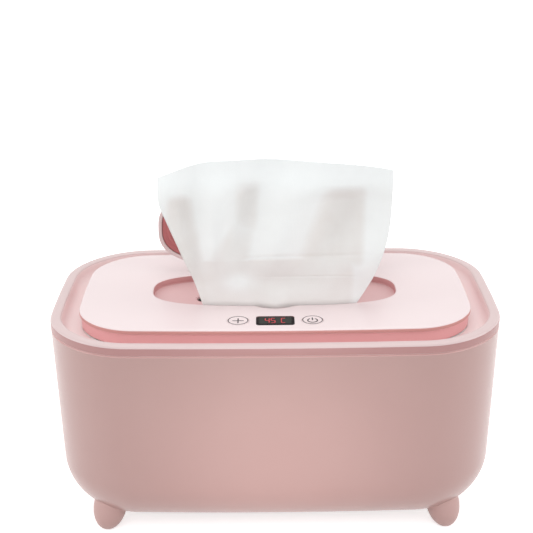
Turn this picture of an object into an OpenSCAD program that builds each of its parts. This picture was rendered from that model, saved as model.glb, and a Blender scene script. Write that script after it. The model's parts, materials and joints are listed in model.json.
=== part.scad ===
// Baby wipe warmer: a pink tub on four peg feet, with a lid sunk inside its rim,
// an oval flip cap over the dispensing slot, two keys, a display and a mains cord.
// Origin: centre of the floor under the body. +Z up, front towards -Y.

/* [Body] */
// Width of the body at the rim
body_w = 230; // [220:1:240]
// Depth of the body at the rim
body_d = 138; // [132:1:144]
// Plan radius of the body's corners
corner_r = 41; // [36:1:46]
// Height of the rim's top above the floor
rim_z = 114; // [112:1:118]
// Radius that rolls the sides into the bottom
bottom_r = 29; // [24:1:30]
// How much each side draws in from the rim to the bottom
side_draft = 3.3; // [2:0.1:4]
// Thickness of the shell's wall
wall = 2.4; // [2:0.1:3]

/* [Lid] */
// Width of the lid plate
plate_w = 201; // [198:1:203]
// Depth of the lid plate
plate_d = 108; // [106:1:109]
// Plan radius of the lid plate's corners
plate_r = 28; // [24:1:32]
// Half length of the oval opening
oval_a = 64; // [60:1:64]
// Half depth of the oval opening
oval_b = 23; // [21:1:23]
// Length of the dispensing slot
slot_l = 82; // [70:1:84]
// Width of the dispensing slot
slot_w = 9; // [8:0.5:9]

/* [Flip cap and keys] */
// How far back the open cap leans from closed, in degrees
cap_open = 105; // [95:1:110]
// Distance of each key from the middle of the lid
key_x = 18.5; // [16:0.5:22]
// Radius of each key
key_r = 5.4; // [5:0.1:5.6]
// Travel of each key
key_travel = 0.8; // [0.5:0.1:0.8]

/* [Cord] */
// Diameter of the mains cord
cord_d = 6; // [5.6:0.1:6.2]
// Turns in each of the coil's two layers
coil_turns = 2.5; // [1.5:1:2.5]
// Radius of the coil at the middle of its turns
coil_r = 35; // [34:0.5:36]

/* [Hidden] */
$fn = 48;
slack = 0.01;

shell_colour = "#C9A09D";
rim_colour = "#EADDDF";
plate_colour = "#F3E5E5";
skirt_colour = "#DF9C9C";
rose_colour = "#B5696B";
floor_colour = "#DEB6B6";
foot_colour = "#C8A6A2";
white_colour = "#F2F1EF";
cord_colour = "#ECECF2";
metal_colour = "#A8A89A";
steel_colour = "#C4C6C8";
board_colour = "#2F6B45";
rubber_colour = "#8E8E8E";

// Heights, all from the floor
body_z = 7;
shell_top_z = rim_z - 5;
ledge_z = rim_z - 7;
plate_top_z = rim_z + 2.2;
plate_t = 2.4;
plate_z = plate_top_z - plate_t;
frame_z = ledge_z + 1;
frame_t = 1.6;
tray_z = frame_z - 5.5;
recess_z = plate_top_z - 4;
insert_z = recess_z - 1.6;
floor_in_z = body_z + wall;
tank_z = 32;
tank_t = 2;

// Every plan outline bulges outwards a little between its corners
bulge_front = 2.5;
bulge_end = 2;
corner_steps = 8;
front_steps = 8;
end_steps = 4;

function smooth(t) = let (s = max(0, min(1, t))) s * s * (3 - 2 * s);
function signed_pow(v, p) = sign(v) * pow(abs(v), p);
function mix(a, b, t) = a + (b - a) * t;

// One corner arc and the straight run that follows it, anticlockwise
function corner_run(cx, cy, r, start, next, steps) = concat(
    [for (i = [0 : corner_steps])
        [cx + r * cos(start + 90 * i / corner_steps), cy + r * sin(start + 90 * i / corner_steps)]],
    [for (i = [1 : steps - 1])
        let (last = [cx + r * cos(start + 90), cy + r * sin(start + 90)]) mix(last, next, i / steps)]);

// Rounded rectangle of w by d over its bulges, with corner radius r
function outline(w, d, r) =
    let (hw = w / 2 - bulge_end, hd = d / 2 - bulge_front, x = hw - r, y = hd - r,
        flat = concat(
            corner_run(x, y, r, 0, [-x, hd], front_steps),
            corner_run(-x, y, r, 90, [-hw, -y], end_steps),
            corner_run(-x, -y, r, 180, [x, -hd], front_steps),
            corner_run(x, -y, r, 270, [hw, y], end_steps)))
    [for (p = flat) [p.x * (1 + bulge_end / hw * (1 - pow(p.y / hd, 2))),
        p.y * (1 + bulge_front / hd * (1 - pow(p.x / hw, 2)))]];

// The body's and the lid plate's outlines, drawn in by an inset
function body_outline(inset) = outline(body_w - 2 * inset, body_d - 2 * inset, corner_r - inset);
function plate_outline(inset) =
    outline(plate_w - 2 * inset, plate_d - 2 * inset, max(plate_r - inset, 3));

// Oval of the opening: an ellipse with squarer ends
oval_power = 2.9;
oval_steps = 72;
function oval(a, b) = [for (i = [0 : oval_steps - 1]) let (t = 360 * i / oval_steps)
    [a * signed_pow(cos(t), 2 / oval_power), b * signed_pow(sin(t), 2 / oval_power)]];

// Skin over rings of equal count. Its ends are flat caps, are left out where it joins
// into a ring, or are strips between the two halves of a thin ring that isn't flat
module loft(rings, closed = false, strips = false) {
    n = len(rings[0]);
    k = len(rings);
    last = closed ? k - 1 : k - 2;
    sides = [for (j = [0 : last], i = [0 : n - 1])
        let (a = j * n, b = ((j + 1) % k) * n, m = (i + 1) % n)
        each [[a + i, b + i, b + m], [a + i, b + m, a + m]]];
    top = (k - 1) * n;
    ends = closed ? [] : strips
        ? [for (i = [0 : n / 2 - 2]) let (far = n - 1 - i)
            each [[i, i + 1, far - 1], [i, far - 1, far],
                [top + far - 1, top + i + 1, top + i], [top + far, top + far - 1, top + i]]]
        : [[for (i = [0 : n - 1]) i], [for (i = [n - 1 : -1 : 0]) top + i]];
    polyhedron([for (ring = rings) each ring], concat(sides, ends), convexity = 8);
}

function at_height(points, z) = [for (p = points) [p.x, p.y, z]];
// Rings of the body's outline, one for each [inset, height]
function body_rings(profile) = [for (p = profile) at_height(body_outline(p[0]), p[1])];

module rod(p, axis, length, r) {
    turn = axis == "x" ? [0, 90, 0] : axis == "y" ? [-90, 0, 0] : [0, 0, 0];
    translate(p) rotate(turn) cylinder(h = length, r = r);
}

module block(low, high) {
    translate(low) cube(high - low);
}

module slab(points, low, high) {
    translate([0, 0, low]) linear_extrude(high - low) polygon(points);
}

module screw(p, shank_r, shank_l, head_r, head_h) {
    translate(p) {
        cylinder(h = shank_l, r = shank_r);
        translate([0, 0, -head_h]) cylinder(h = head_h, r = head_r);
    }
}

// ---- Base: shell, rim ring and tank ----

fillet_steps = 7;
// Draft of the side at a height
function draft_at(z) = side_draft * (rim_z - z) / (rim_z - body_z);
// [inset, height] up a side whose bottom edge is rolled with radius r
function rolled_side(gap, r, low, top) = concat(
    [for (i = [0 : fillet_steps]) let (a = 90 * i / fillet_steps, z = low + r * (1 - cos(a)))
        [draft_at(z) + gap + r * (1 - sin(a)), z]],
    [[draft_at(top) + gap, top]]);
function backwards(list) = [for (i = [len(list) - 1 : -1 : 0]) list[i]];
shell_side = rolled_side(0, bottom_r, body_z, shell_top_z);

// Bottom cover and its screws
cover_w = 152;
cover_d = 62;
cover_r = 12;
cover_t = 1.2;
cover_screw_x = 68.4;
cover_screw_y = 22.9;
rebate_t = 1.4;
// Where the cord passes the rear wall
gland_x = -60;
gland_z = 38;
gland_seat_y = 67;
gland_neck_r = 5.4;
// Feet
foot_x = 87;
foot_y = 48;
foot_r = 8.7;
foot_h = 13.5;
foot_splay = 7;
foot_flat_z = 0.8;
// The inner cord's clamp
clamp_y = 37;
clamp_half = 9;
clamp_boss_z = 12;

module four_ways(x, y) {
    for (sx = [-1, 1], sy = [-1, 1]) translate([sx * x, sy * y, 0]) children();
}

module outer_shell() {
    inside = rolled_side(wall, bottom_r - wall, floor_in_z, shell_top_z);
    color(shell_colour) difference() {
        union() {
            loft(body_rings(concat(shell_side, backwards(inside))));
            // bosses for the cover's screws, the clamp's screws, the feet and the gland's seat
            four_ways(cover_screw_x, cover_screw_y) rod([0, 0, body_z + rebate_t], "z", 8, 3.4);
            for (s = [-1, 1])
                rod([gland_x + s * clamp_half, clamp_y, floor_in_z - 1], "z", clamp_boss_z - floor_in_z + 1, 3);
            intersection() {
                four_ways(foot_x - 2, foot_y - 2) rod([0, 0, body_z], "z", 16, 4);
                loft(body_rings(rolled_side(1.2, bottom_r - 1.2, body_z + 1.2, shell_top_z)));
            }
            rod([gland_x, gland_seat_y - 5.5, gland_z], "y", 5.5, 9);
        }
        // opening for the bottom cover, with a rebate that its edge sits in
        slab(outline(cover_w - 8, cover_d - 8, cover_r - 4), body_z - 1, floor_in_z + 0.6);
        slab(outline(cover_w, cover_d, cover_r), body_z - 1, body_z + rebate_t);
        four_ways(cover_screw_x, cover_screw_y) rod([0, 0, body_z], "z", 8.5, 1.3);
        for (s = [-1, 1]) rod([gland_x + s * clamp_half, clamp_y, floor_in_z + 0.3], "z", 5, 1.1);
        four_ways(foot_x - 2, foot_y - 2) rod([0, 0, body_z - 4], "z", 22, 1.6);
        rod([gland_x, gland_seat_y - 8, gland_z], "y", 10, gland_neck_r + 0.05);
    }
}

// Lid hinge: knuckles on the lid frame between lugs that stand on the rim's ledge
hinge_y = 55.5;
hinge_z = rim_z - 3.5;
hinge_x = 50;
knuckle_r = 2.6;
knuckle_l = 12;
lug_l = 5;
lug_gap = 0.3;
pin_r = 1.25;
running_gap = 0.05;
lug_start = knuckle_l / 2 + lug_gap;

module rim_ring() {
    // [inset, height] round the ring's section: skirt, rounded top, inner wall, ledge, rebate
    section = [[0.15, shell_top_z + 0.3], [0.05, rim_z - 1.4], [0.45, rim_z - 0.4], [1.4, rim_z],
        [4.6, rim_z], [5.3, rim_z - 0.3], [5.6, rim_z - 1], [6.9, ledge_z + 0.6], [7.5, ledge_z],
        [16, ledge_z], [16, ledge_z - 1.6], [19, ledge_z - 1.6], [19, ledge_z - 3.2],
        [5, ledge_z - 3.2], [5, ledge_z - 7], [2.95, ledge_z - 7], [2.95, shell_top_z + 0.3]];
    color(rim_colour) difference() {
        union() {
            loft(body_rings(section), closed = true);
            for (side = [-1, 1], hand = [-1, 1])
                let (x = side * hinge_x + hand * (lug_start + lug_l / 2) - lug_l / 2) {
                    rod([x, hinge_y, hinge_z], "x", lug_l, knuckle_r);
                    block([x, hinge_y - knuckle_r, ledge_z - 1], [x + lug_l, hinge_y + knuckle_r, hinge_z]);
                }
        }
        for (side = [-1, 1])
            rod([side * hinge_x - lug_start - lug_l - 1, hinge_y, hinge_z], "x",
                2 * (lug_start + lug_l) + 2, pin_r + slack);
    }
}

module lid_hinge_pins() {
    color(steel_colour) for (side = [-1, 1])
        rod([side * hinge_x - lug_start - lug_l, hinge_y, hinge_z], "x", 2 * (lug_start + lug_l), pin_r);
}

liner_r = 10;
liner_steps = 3;
post_x = 75;
post_y = 24;
function tank_side(gap, r, low, top) = concat(
    [for (i = [0 : liner_steps]) let (a = 90 * i / liner_steps)
        [gap + side_draft + r * (1 - sin(a)), low + r * (1 - cos(a))]],
    [[gap, top]]);

module tank_liner() {
    outside = tank_side(19.3, liner_r, tank_z, ledge_z - 1.6);
    inside = tank_side(21.3, liner_r - tank_t, tank_z + tank_t, ledge_z);
    color(white_colour) difference() {
        union() {
            loft(body_rings(concat(outside, [[16.2, ledge_z - 1.6], [16.2, ledge_z]], backwards(inside))));
            four_ways(post_x, post_y) rod([0, 0, pad_z], "z", tank_z + 0.5 - pad_z, 3.2);
        }
        four_ways(post_x, post_y) rod([0, 0, pad_z - 1], "z", 6.4, 1.1);
    }
}

// ---- Base: heater stack, board and bottom ----

spreader_z = tank_z - 1.2;
film_z = spreader_z - 0.5;
pad_z = film_z - 4.2;
bracket_z = pad_z - 1.5;
bracket_t = 1.5;
sensor_x = -45;
cutout_x = 45;
wire_x = 20;
wire_y = 16;

module heat_spreader() {
    color(metal_colour) slab(outline(140, 66, 8), spreader_z, tank_z);
}

module heating_film() {
    color("#B8702E") difference() {
        slab(outline(134, 60, 6), film_z, spreader_z);
        rod([sensor_x, 0, film_z - 1], "z", 3, 4);
    }
}

module insulation_pad() {
    color("#DCD9D0") difference() {
        slab(outline(140, 66, 8), pad_z, film_z);
        rod([sensor_x, 0, pad_z - 1], "z", 6, 4);
        block([cutout_x - 8, 12, pad_z - 1], [cutout_x + 8, 18, film_z + 1]);
        rod([wire_x, wire_y, pad_z - 1], "z", 6, 4.5);
    }
}

module heater_bracket() {
    color(steel_colour) difference() {
        union() {
            block([-post_x - 5, -6, bracket_z], [post_x + 5, 6, pad_z]);
            for (s = [-1, 1])
                block([s * post_x - 5, -post_y - 5, bracket_z], [s * post_x + 5, post_y + 5, pad_z]);
        }
        four_ways(post_x, post_y) rod([0, 0, bracket_z - 1], "z", 4, 1.4);
        rod([sensor_x, 0, bracket_z - 1], "z", 4, 4);
    }
}

module bracket_screws() {
    color(steel_colour) four_ways(post_x, post_y) screw([0, 0, bracket_z], 1.05, 6.5, 2.4, 1.6);
}

module thermal_cutout() {
    color("#E7E2D2") rod([cutout_x - 6, 15, film_z - 2], "x", 12, 2);
}

module temperature_sensor() {
    color("#2B2B2B") {
        rod([sensor_x, 0, spreader_z - 3], "z", 3, 2.2);
        rod([sensor_x, 0, spreader_z - 5], "z", 2.5, 1.2);
    }
}

board_z = 12;
board_t = 1.6;
board_w = 96;
board_d = 44;
board_screw_x = 43;
board_screw_y = 17;
terminal_x = -26;

module heater_wires() {
    color("#C33A32") for (s = [-1, 1])
        rod([wire_x + 2 * s, wire_y, board_z + board_t + 6], "z", film_z - board_z - board_t - 6, 0.9);
}

module power_board() {
    color(board_colour) difference() {
        block([-board_w / 2, -board_d / 2, board_z], [board_w / 2, board_d / 2, board_z + board_t]);
        four_ways(board_screw_x, board_screw_y) rod([0, 0, board_z - 1], "z", 4, 1.4);
    }
}

module power_board_parts() {
    top = board_z + board_t;
    color("#3A3A3C") {
        block([-34, -8, top], [-16, 8, top + 9]);
        block([-8, -16, top], [4, -1, top + 8.5]);
        rod([16, -9, top], "z", 9, 4);
        rod([27, -9, top], "z", 7, 3);
        block([14, 11, top], [26, 18, top + 6]);
        block([terminal_x, 12, top], [terminal_x + 16, 18, top + 6]);
        block([32, -2, top], [38, 10, top + 5]);
    }
}

module power_board_screws() {
    color(steel_colour) four_ways(board_screw_x, board_screw_y)
        translate([0, 0, board_z + board_t]) mirror([0, 0, 1]) screw([0, 0, 0], 1.05, 4.6, 2.3, 1.5);
}

module bottom_cover() {
    color(shell_colour) difference() {
        union() {
            slab(outline(cover_w - 0.6, cover_d - 0.6, cover_r - 0.3), body_z + 0.1, body_z + 0.1 + cover_t);
            four_ways(board_screw_x, board_screw_y)
                rod([0, 0, body_z + 0.1], "z", board_z - body_z - 0.1, 3);
            // stiffening ribs inside
            for (x = [-24, 0, 24])
                block([x - 0.8, -22, body_z + 0.1], [x + 0.8, 22, board_z - 1.5]);
        }
        four_ways(board_screw_x, board_screw_y) rod([0, 0, body_z + 1], "z", 6, 1.1);
        four_ways(cover_screw_x, cover_screw_y) rod([0, 0, body_z - 1], "z", 4, 1.6);
    }
}

module cover_screws() {
    color(steel_colour) four_ways(cover_screw_x, cover_screw_y)
        screw([0, 0, body_z + 0.1], 1.25, 7.5, 2.6, 1.6);
}

// Radius of a foot, an egg's end, at a height above its tip
foot_power = 2;
foot_points = 16;
function foot_radius(h) = foot_r * pow(1 - pow(1 - min(1, h / foot_h), foot_power), 1 / foot_power);

module foot(sx, sy) {
    profile = concat([[0, 0]],
        [for (i = [1 : foot_points]) let (h = foot_h * pow(i / foot_points, 1.6)) [foot_radius(h), h]],
        [[foot_r, foot_h + 12], [0, foot_h + 12]]);
    color(foot_colour) difference() {
        intersection() {
            translate([sx * foot_x, sy * foot_y, 0]) rotate([sy * foot_splay, -sx * foot_splay, 0])
                rotate_extrude() polygon(profile);
            block([sx * foot_x - 20, sy * foot_y - 20, foot_flat_z], [sx * foot_x + 20, sy * foot_y + 20, 24]);
        }
        loft(body_rings(shell_side));
        rod([sx * foot_x, sy * foot_y, 0], "z", 1.9, 2.85);
        rod([sx * (foot_x - 2), sy * (foot_y - 2), 4], "z", 16, 1.3);
    }
}

module foot_front_left() foot(-1, -1);
module foot_front_right() foot(1, -1);
module foot_back_left() foot(-1, 1);
module foot_back_right() foot(1, 1);

module foot_pads() {
    color(rubber_colour) four_ways(foot_x, foot_y) cylinder(h = 1.85, r = 2.8);
}

module foot_screws() {
    color(steel_colour) four_ways(foot_x - 2, foot_y - 2)
        translate([0, 0, body_z + 16]) mirror([0, 0, 1]) screw([0, 0, 0], 1.25, 18, 3, 1.8);
}

// ---- Cord inside the body ----

cord_r = cord_d / 2;
bend_r = 7;
drop_y = 52;
inner_cord_z = 15.4;
wires_start_y = 27;

module quarter_bend(p, start) {
    translate(p) rotate([90, 0, 90]) rotate_extrude(angle = 90, start = start)
        translate([bend_r, 0]) circle(r = cord_r);
}

module inner_cord() {
    inner_end_y = gland_seat_y - 6.9;
    color(cord_colour) {
        rod([gland_x, drop_y + bend_r, gland_z], "y", inner_end_y - drop_y - bend_r, cord_r);
        quarter_bend([gland_x, drop_y + bend_r, gland_z - bend_r], 90);
        rod([gland_x, drop_y, inner_cord_z + bend_r], "z", gland_z - inner_cord_z - 2 * bend_r, cord_r);
        quarter_bend([gland_x, drop_y - bend_r, inner_cord_z + bend_r], 270);
        rod([gland_x, wires_start_y, inner_cord_z], "y", drop_y - bend_r - wires_start_y, cord_r);
    }
}

// Two cores leave the cord's end and turn towards the board's terminal block
module mains_wires() {
    turn_x = gland_x + 3.8;
    turn_y = 19;
    z = inner_cord_z + 1;
    for (i = [0, 1]) let (r = 2.6 + 2.4 * i) color(["#3C5A8A", "#8A5A3C"][i]) {
        rod([turn_x - r, turn_y, z], "y", wires_start_y - turn_y, 0.9);
        translate([turn_x, turn_y, z]) rotate_extrude(angle = 90, start = 180) translate([r, 0]) circle(r = 0.9);
        rod([turn_x, turn_y - r, z], "x", terminal_x - turn_x, 0.9);
    }
}

module cord_clamp() {
    color(white_colour) difference() {
        union() {
            block([gland_x - clamp_half - 4, clamp_y - 4, clamp_boss_z],
                [gland_x + clamp_half + 4, clamp_y + 4, clamp_boss_z + 2]);
            rod([gland_x, clamp_y - 4, inner_cord_z], "y", 8, cord_r + 1.8);
        }
        rod([gland_x, clamp_y - 5, inner_cord_z], "y", 10, cord_r + slack);
        block([gland_x - 6, clamp_y - 5, floor_in_z], [gland_x + 6, clamp_y + 5, clamp_boss_z]);
        for (s = [-1, 1]) rod([gland_x + s * clamp_half, clamp_y, clamp_boss_z - 1], "z", 4, 1.3);
    }
}

module clamp_screws() {
    color(steel_colour) for (s = [-1, 1])
        translate([gland_x + s * clamp_half, clamp_y, clamp_boss_z + 2]) mirror([0, 0, 1])
            screw([0, 0, 0], 1.05, 4, 2.2, 1.5);
}

// ---- Lid ----

key_y = -42.6;
key_bore_gap = 0.1;
notch_r = 15.7;
notch_y = -11.1;
window_w = 19;
window_d = 11;
window_r = 1.6;
lid_posts = [[-79, -27], [79, -27], [-79, 27], [79, 27], [-22, 38], [22, 38]];
// Flip cap hinge
cap_y = 26;
cap_z = plate_top_z - 2;
cap_hinge_x = 28;
cap_knuckle_l = 7.4;
cap_pin_r = 1;
cap_lug_start = cap_knuckle_l / 2 + 0.6;
cap_lug_l = 4.4;
cap_pocket = cap_lug_start + cap_lug_l + 0.3;

// Rectangle with round corners, from squares and circles
module round_square(w, d, r) {
    square([w - 2 * r, d], center = true);
    square([w, d - 2 * r], center = true);
    for (sx = [-1, 1], sy = [-1, 1]) translate([sx * (w / 2 - r), sy * (d / 2 - r)]) circle(r = r);
}

// What the oval opening and its finger notch take away
module oval_cut(gap, low, high) {
    slab(oval(oval_a + gap, oval_b + gap), low, high);
    rod([0, notch_y, low], "z", high - low, notch_r + gap);
}

module lid_plate() {
    edge = [[0.3, plate_z], [0, plate_z + 0.3], [0, plate_top_z - 0.9], [0.25, plate_top_z - 0.35],
        [0.9, plate_top_z]];
    color(plate_colour) difference() {
        union() {
            loft([for (p = edge) at_height(plate_outline(p[0]), p[1])]);
            for (p = lid_posts) rod([p.x, p.y, tray_z + frame_t], "z", plate_z + 1 - tray_z - frame_t, 3);
        }
        oval_cut(0, plate_z - 1, plate_top_z + 1);
        for (s = [-1, 1]) {
            rod([s * key_x, key_y, plate_z - 1], "z", plate_t + 2, key_r + key_bore_gap);
            block([s * cap_hinge_x - cap_pocket, oval_b - 6, plate_z - 1],
                [s * cap_hinge_x + cap_pocket, cap_y + 3.6, plate_top_z + 1]);
        }
        translate([0, key_y, plate_z - 1]) linear_extrude(plate_t + 2)
            round_square(window_w + 0.2, window_d + 0.2, window_r);
        for (p = lid_posts) rod([p.x, p.y, tray_z], "z", plate_z - tray_z, 1.1);
    }
}

// The frame's chute carries the slot insert above the tank
chute_a = 67;
chute_b = 28;
chute_t = 1.4;

module lid_frame() {
    color(skirt_colour) difference() {
        union() {
            difference() {
                union() {
                    slab(plate_outline(1), frame_z, plate_z);
                    slab(plate_outline(9.5), tray_z, frame_z + frame_t);
                }
                slab(plate_outline(3), frame_z + frame_t, plate_z + 1);
                slab(plate_outline(11.1), tray_z + frame_t, plate_z + 1);
            }
            slab(oval(chute_a, chute_b), tray_z, insert_z);
            for (s = [-1, 1]) {
                rod([s * hinge_x - knuckle_l / 2, hinge_y, hinge_z], "x", knuckle_l, knuckle_r);
                block([s * hinge_x - knuckle_l / 2, hinge_y - 4.4, hinge_z - 1.6],
                    [s * hinge_x + knuckle_l / 2, hinge_y, hinge_z + 1.8]);
            }
        }
        slab(oval(chute_a - chute_t, chute_b - chute_t), tray_z - 1, insert_z + 1);
        for (p = lid_posts) rod([p.x, p.y, tray_z - 1], "z", 4, 1.5);
        for (s = [-1, 1])
            rod([s * hinge_x - knuckle_l / 2 - 1, hinge_y, hinge_z], "x", knuckle_l + 2, pin_r + running_gap);
    }
}

module lid_gasket() {
    color(rubber_colour) difference() {
        slab(plate_outline(2.6), ledge_z + 0.1, frame_z);
        slab(plate_outline(5.6), ledge_z - 1, frame_z + 1);
    }
}

module lid_screws() {
    color(steel_colour) for (p = lid_posts) screw([p.x, p.y, tray_z], 1.05, 8, 2.3, 1.4);
}

module slot_insert() {
    slot_y = -3;
    color(floor_colour) difference() {
        union() {
            slab(oval(chute_a + 1, chute_b + 1), insert_z, plate_z);
            for (side = [-1, 1], hand = [-1, 1])
                let (x = side * cap_hinge_x + hand * (cap_lug_start + cap_lug_l / 2) - cap_lug_l / 2)
                    block([x, oval_b + 0.3, insert_z], [x + cap_lug_l, cap_y + 3.2, plate_top_z - 0.1]);
        }
        oval_cut(0.3, recess_z, plate_z + 0.1);
        translate([0, slot_y, insert_z - 1]) linear_extrude(4) round_square(slot_l, slot_w, slot_w / 2 - slack);
        for (s = [-1, 1]) {
            block([s * cap_hinge_x - cap_lug_start, oval_b - 2, insert_z + 0.6],
                [s * cap_hinge_x + cap_lug_start, cap_y + 4, plate_top_z + 1]);
            rod([s * cap_hinge_x - cap_pocket, cap_y, cap_z], "x", 2 * cap_pocket, cap_pin_r + slack);
        }
    }
}

module cap_hinge_pins() {
    half = cap_lug_start + cap_lug_l;
    color(steel_colour) for (s = [-1, 1]) rod([s * cap_hinge_x - half, cap_y, cap_z], "x", 2 * half, cap_pin_r);
}

control_z = frame_z + frame_t;
control_t = 1.2;
switch_h = 1.2;

module control_board() {
    color(board_colour) block([-34, -49, control_z], [34, -31, control_z + control_t]);
}

module key_switches() {
    top = control_z + control_t + switch_h;
    color("#3A3A3C") for (s = [-1, 1]) difference() {
        block([s * key_x - 3, key_y - 3, top - switch_h], [s * key_x + 3, key_y + 3, top]);
        rod([s * key_x, key_y, top - key_travel - 0.3], "z", 2, 1.7);
    }
}

module display_module() {
    color("#262626") block([-9, key_y - 5, control_z + control_t], [9, key_y + 5, plate_z]);
}

module display_window() {
    color("#1B1416") translate([0, key_y, plate_z]) linear_extrude(plate_t)
        round_square(window_w, window_d, window_r);
}

// Sprung key: cap with a chamfered edge, a flange under the plate and a stem into its switch
module key(x) {
    top = plate_top_z + 0.25;
    flange_z = plate_z - 0.1;
    stem_z = control_z + control_t + switch_h - 0.1;
    profile = [[0, stem_z], [1.6, stem_z], [1.6, flange_z - 0.7], [key_r + 1, flange_z - 0.7],
        [key_r + 1, flange_z], [key_r, flange_z], [key_r, top - 0.4], [key_r - 0.4, top],
        [key_r - 1.2, top], [key_r - 1.8, top - 0.2], [0, top - 0.2]];
    color(plate_colour) translate([x, key_y, 0]) rotate_extrude() polygon(profile);
}

module plus_key() key(-key_x);
module power_key() key(key_x);

// ---- Flip cap, drawn closed and then swung open about its hinge ----

module swung_open() {
    translate([0, cap_y, cap_z]) rotate([-cap_open, 0, 0]) translate([0, -cap_y, -cap_z]) children();
}

cap_gap = 0.6;
cap_rim = 2;
cap_under_z = recess_z + 0.4;
cap_skin_z = plate_top_z - 1.6;

module flip_cap() {
    a = oval_a - cap_gap;
    b = oval_b - cap_gap;
    edge = [[0, cap_under_z], [0, plate_top_z - 1.1], [0.4, plate_top_z - 0.4], [1.3, plate_top_z]];
    color(rim_colour) swung_open() difference() {
        union() {
            loft([for (p = edge) at_height(oval(a - p[0], b - p[0]), p[1])]);
            for (s = [-1, 1]) {
                rod([s * cap_hinge_x - cap_knuckle_l / 2, cap_y, cap_z], "x", cap_knuckle_l, knuckle_r);
                block([s * cap_hinge_x - cap_knuckle_l / 2, b - 1.8, cap_z - 1.5],
                    [s * cap_hinge_x + cap_knuckle_l / 2, cap_y, cap_z + 1.6]);
            }
            // lip for a fingertip, over the notch
            block([-8, -b - 1.8, plate_top_z - 1.5], [8, -b + 1.5, plate_top_z - 0.3]);
        }
        slab(oval(a - cap_rim, b - cap_rim), cap_under_z - 1, cap_skin_z);
        for (s = [-1, 1])
            rod([s * cap_hinge_x - cap_knuckle_l, cap_y, cap_z], "x", 2 * cap_knuckle_l, cap_pin_r + running_gap);
    }
}

module cap_inner_panel() {
    inset = cap_gap + cap_rim + 0.2;
    color(rose_colour) swung_open()
        slab(oval(oval_a - inset, oval_b - inset), cap_under_z + 0.6, cap_skin_z);
}

module cap_seal() {
    inset = cap_gap + cap_rim + 3;
    color(rose_colour) swung_open() difference() {
        slab(oval(oval_a - inset, oval_b - inset), cap_under_z - 0.1, cap_under_z + 0.6);
        slab(oval(oval_a - inset - 1.4, oval_b - inset - 1.4), cap_under_z - 1, cap_under_z + 1);
    }
}

// ---- Wipe ----
// A soft sheet threaded through the slot. Row by row it runs from the tank's floor up
// to the slot, forward over the slot's front lip, and rises as a fluted fan that leans
// out a little before it comes back.

wipe_t = 0.7;
wipe_cols = 24;
wipe_rows_fan = 15;
// The middle line as far as the recess's front edge, [y, z]; the last four points lie
// above the recess's floor, where the sheet is already as wide as the fan's foot
wipe_tail = [[22, 37], [13, 36.4], [4, 37], [-3, 40], [-6, 47], [-6.4, 60], [-6.4, 75],
    [-6.4, 90], [-6.4, 103], [-6.7, 110.4], [-6.75, 112.3], [-7.8, 113], [-12, 112.85],
    [-17, 112.8], [-18.9, 113.8]];
wipe_rows_low = len(wipe_tail);
fan_low = 3.2;
// Left, right and top edge of the fan at a height h above the recess's floor and at a
// share u of the way across, from -1 to 1
function fan_left(h) = -36.5 - 22.1 * smooth(h / 62);
function fan_right(h) = 39.6 + 20.6 * (1 - pow(1 - min(1, h / 76), 2.6));
function fan_top(u) = 189.8 - 2 * u - 4.1 * pow(u, 2) + 3.2 * pow(u, 3) - 2.8 * pow(u, 4);
// The fan's middle line, with a sag into the finger notch at its foot
function fan_y(h, x) = -19.2 - 3 * smooth((h - 1) / 26) + 12.5 * smooth((h - 22) / 60)
    - 1.6 * exp(-pow(x / 10, 2)) * (1 - smooth(h / 12));
// Flutes: valleys where the cosine's turns are whole, drifting sideways as they rise
function flute(u, h) = 3 * smooth((h - 6) / 34) * (1 - 0.6 * smooth((h - 50) / 28))
    * cos(360 * (1.4 + 1.345 * u - 0.545 * u * u - 0.0115 * (h - 45)));

function wipe_point(u, j) =
    j < wipe_rows_low
    ? let (p = wipe_tail[j]) [j < wipe_rows_low - 4 ? 38 * u : mix(fan_left(0), fan_right(0), (u + 1) / 2), p[0], p[1]]
    : let (v = (j - wipe_rows_low) / (wipe_rows_fan - 1),
        h = fan_low + (fan_top(u) - recess_z - fan_low) * pow(v, 1.2),
        x = mix(fan_left(h), fan_right(h), (u + 1) / 2))
        [x, fan_y(h, x) + flute(u, h), recess_z + h];

module wipe() {
    rows = wipe_rows_low + wipe_rows_fan;
    grid = [for (j = [0 : rows - 1]) [for (i = [0 : wipe_cols - 1]) wipe_point(2 * i / (wipe_cols - 1) - 1, j)]];
    // a closed loop of points round each row: front face one way, back face the other
    function away(j) = let (a = grid[max(0, j - 1)][12], b = grid[min(rows - 1, j + 1)][12], d = b - a)
        wipe_t / 2 * [0, -d.z, d.y] / norm([d.y, d.z]);
    rings = [for (j = [0 : rows - 1]) concat(
        [for (i = [0 : wipe_cols - 1]) grid[j][i] + away(j)],
        [for (i = [wipe_cols - 1 : -1 : 0]) grid[j][i] - away(j)])];
    color(white_colour) loft(rings, strips = true);
}

// ---- Free cord ----

gland_end_y = 95;
coil_x = 45;
coil_y = 123;
coil_gap = 0.7;
coil_pitch = cord_d + coil_gap;
coil_low_z = cord_r + 0.9;
coil_total = 2 * coil_turns + 0.5;
coil_in_r = coil_r - coil_total * coil_pitch / 4;
coil_out_r = coil_r + coil_total * coil_pitch / 4;
coil_rings = 24;
plug_y = coil_y - coil_out_r;
plug_z = 7.6;
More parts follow.
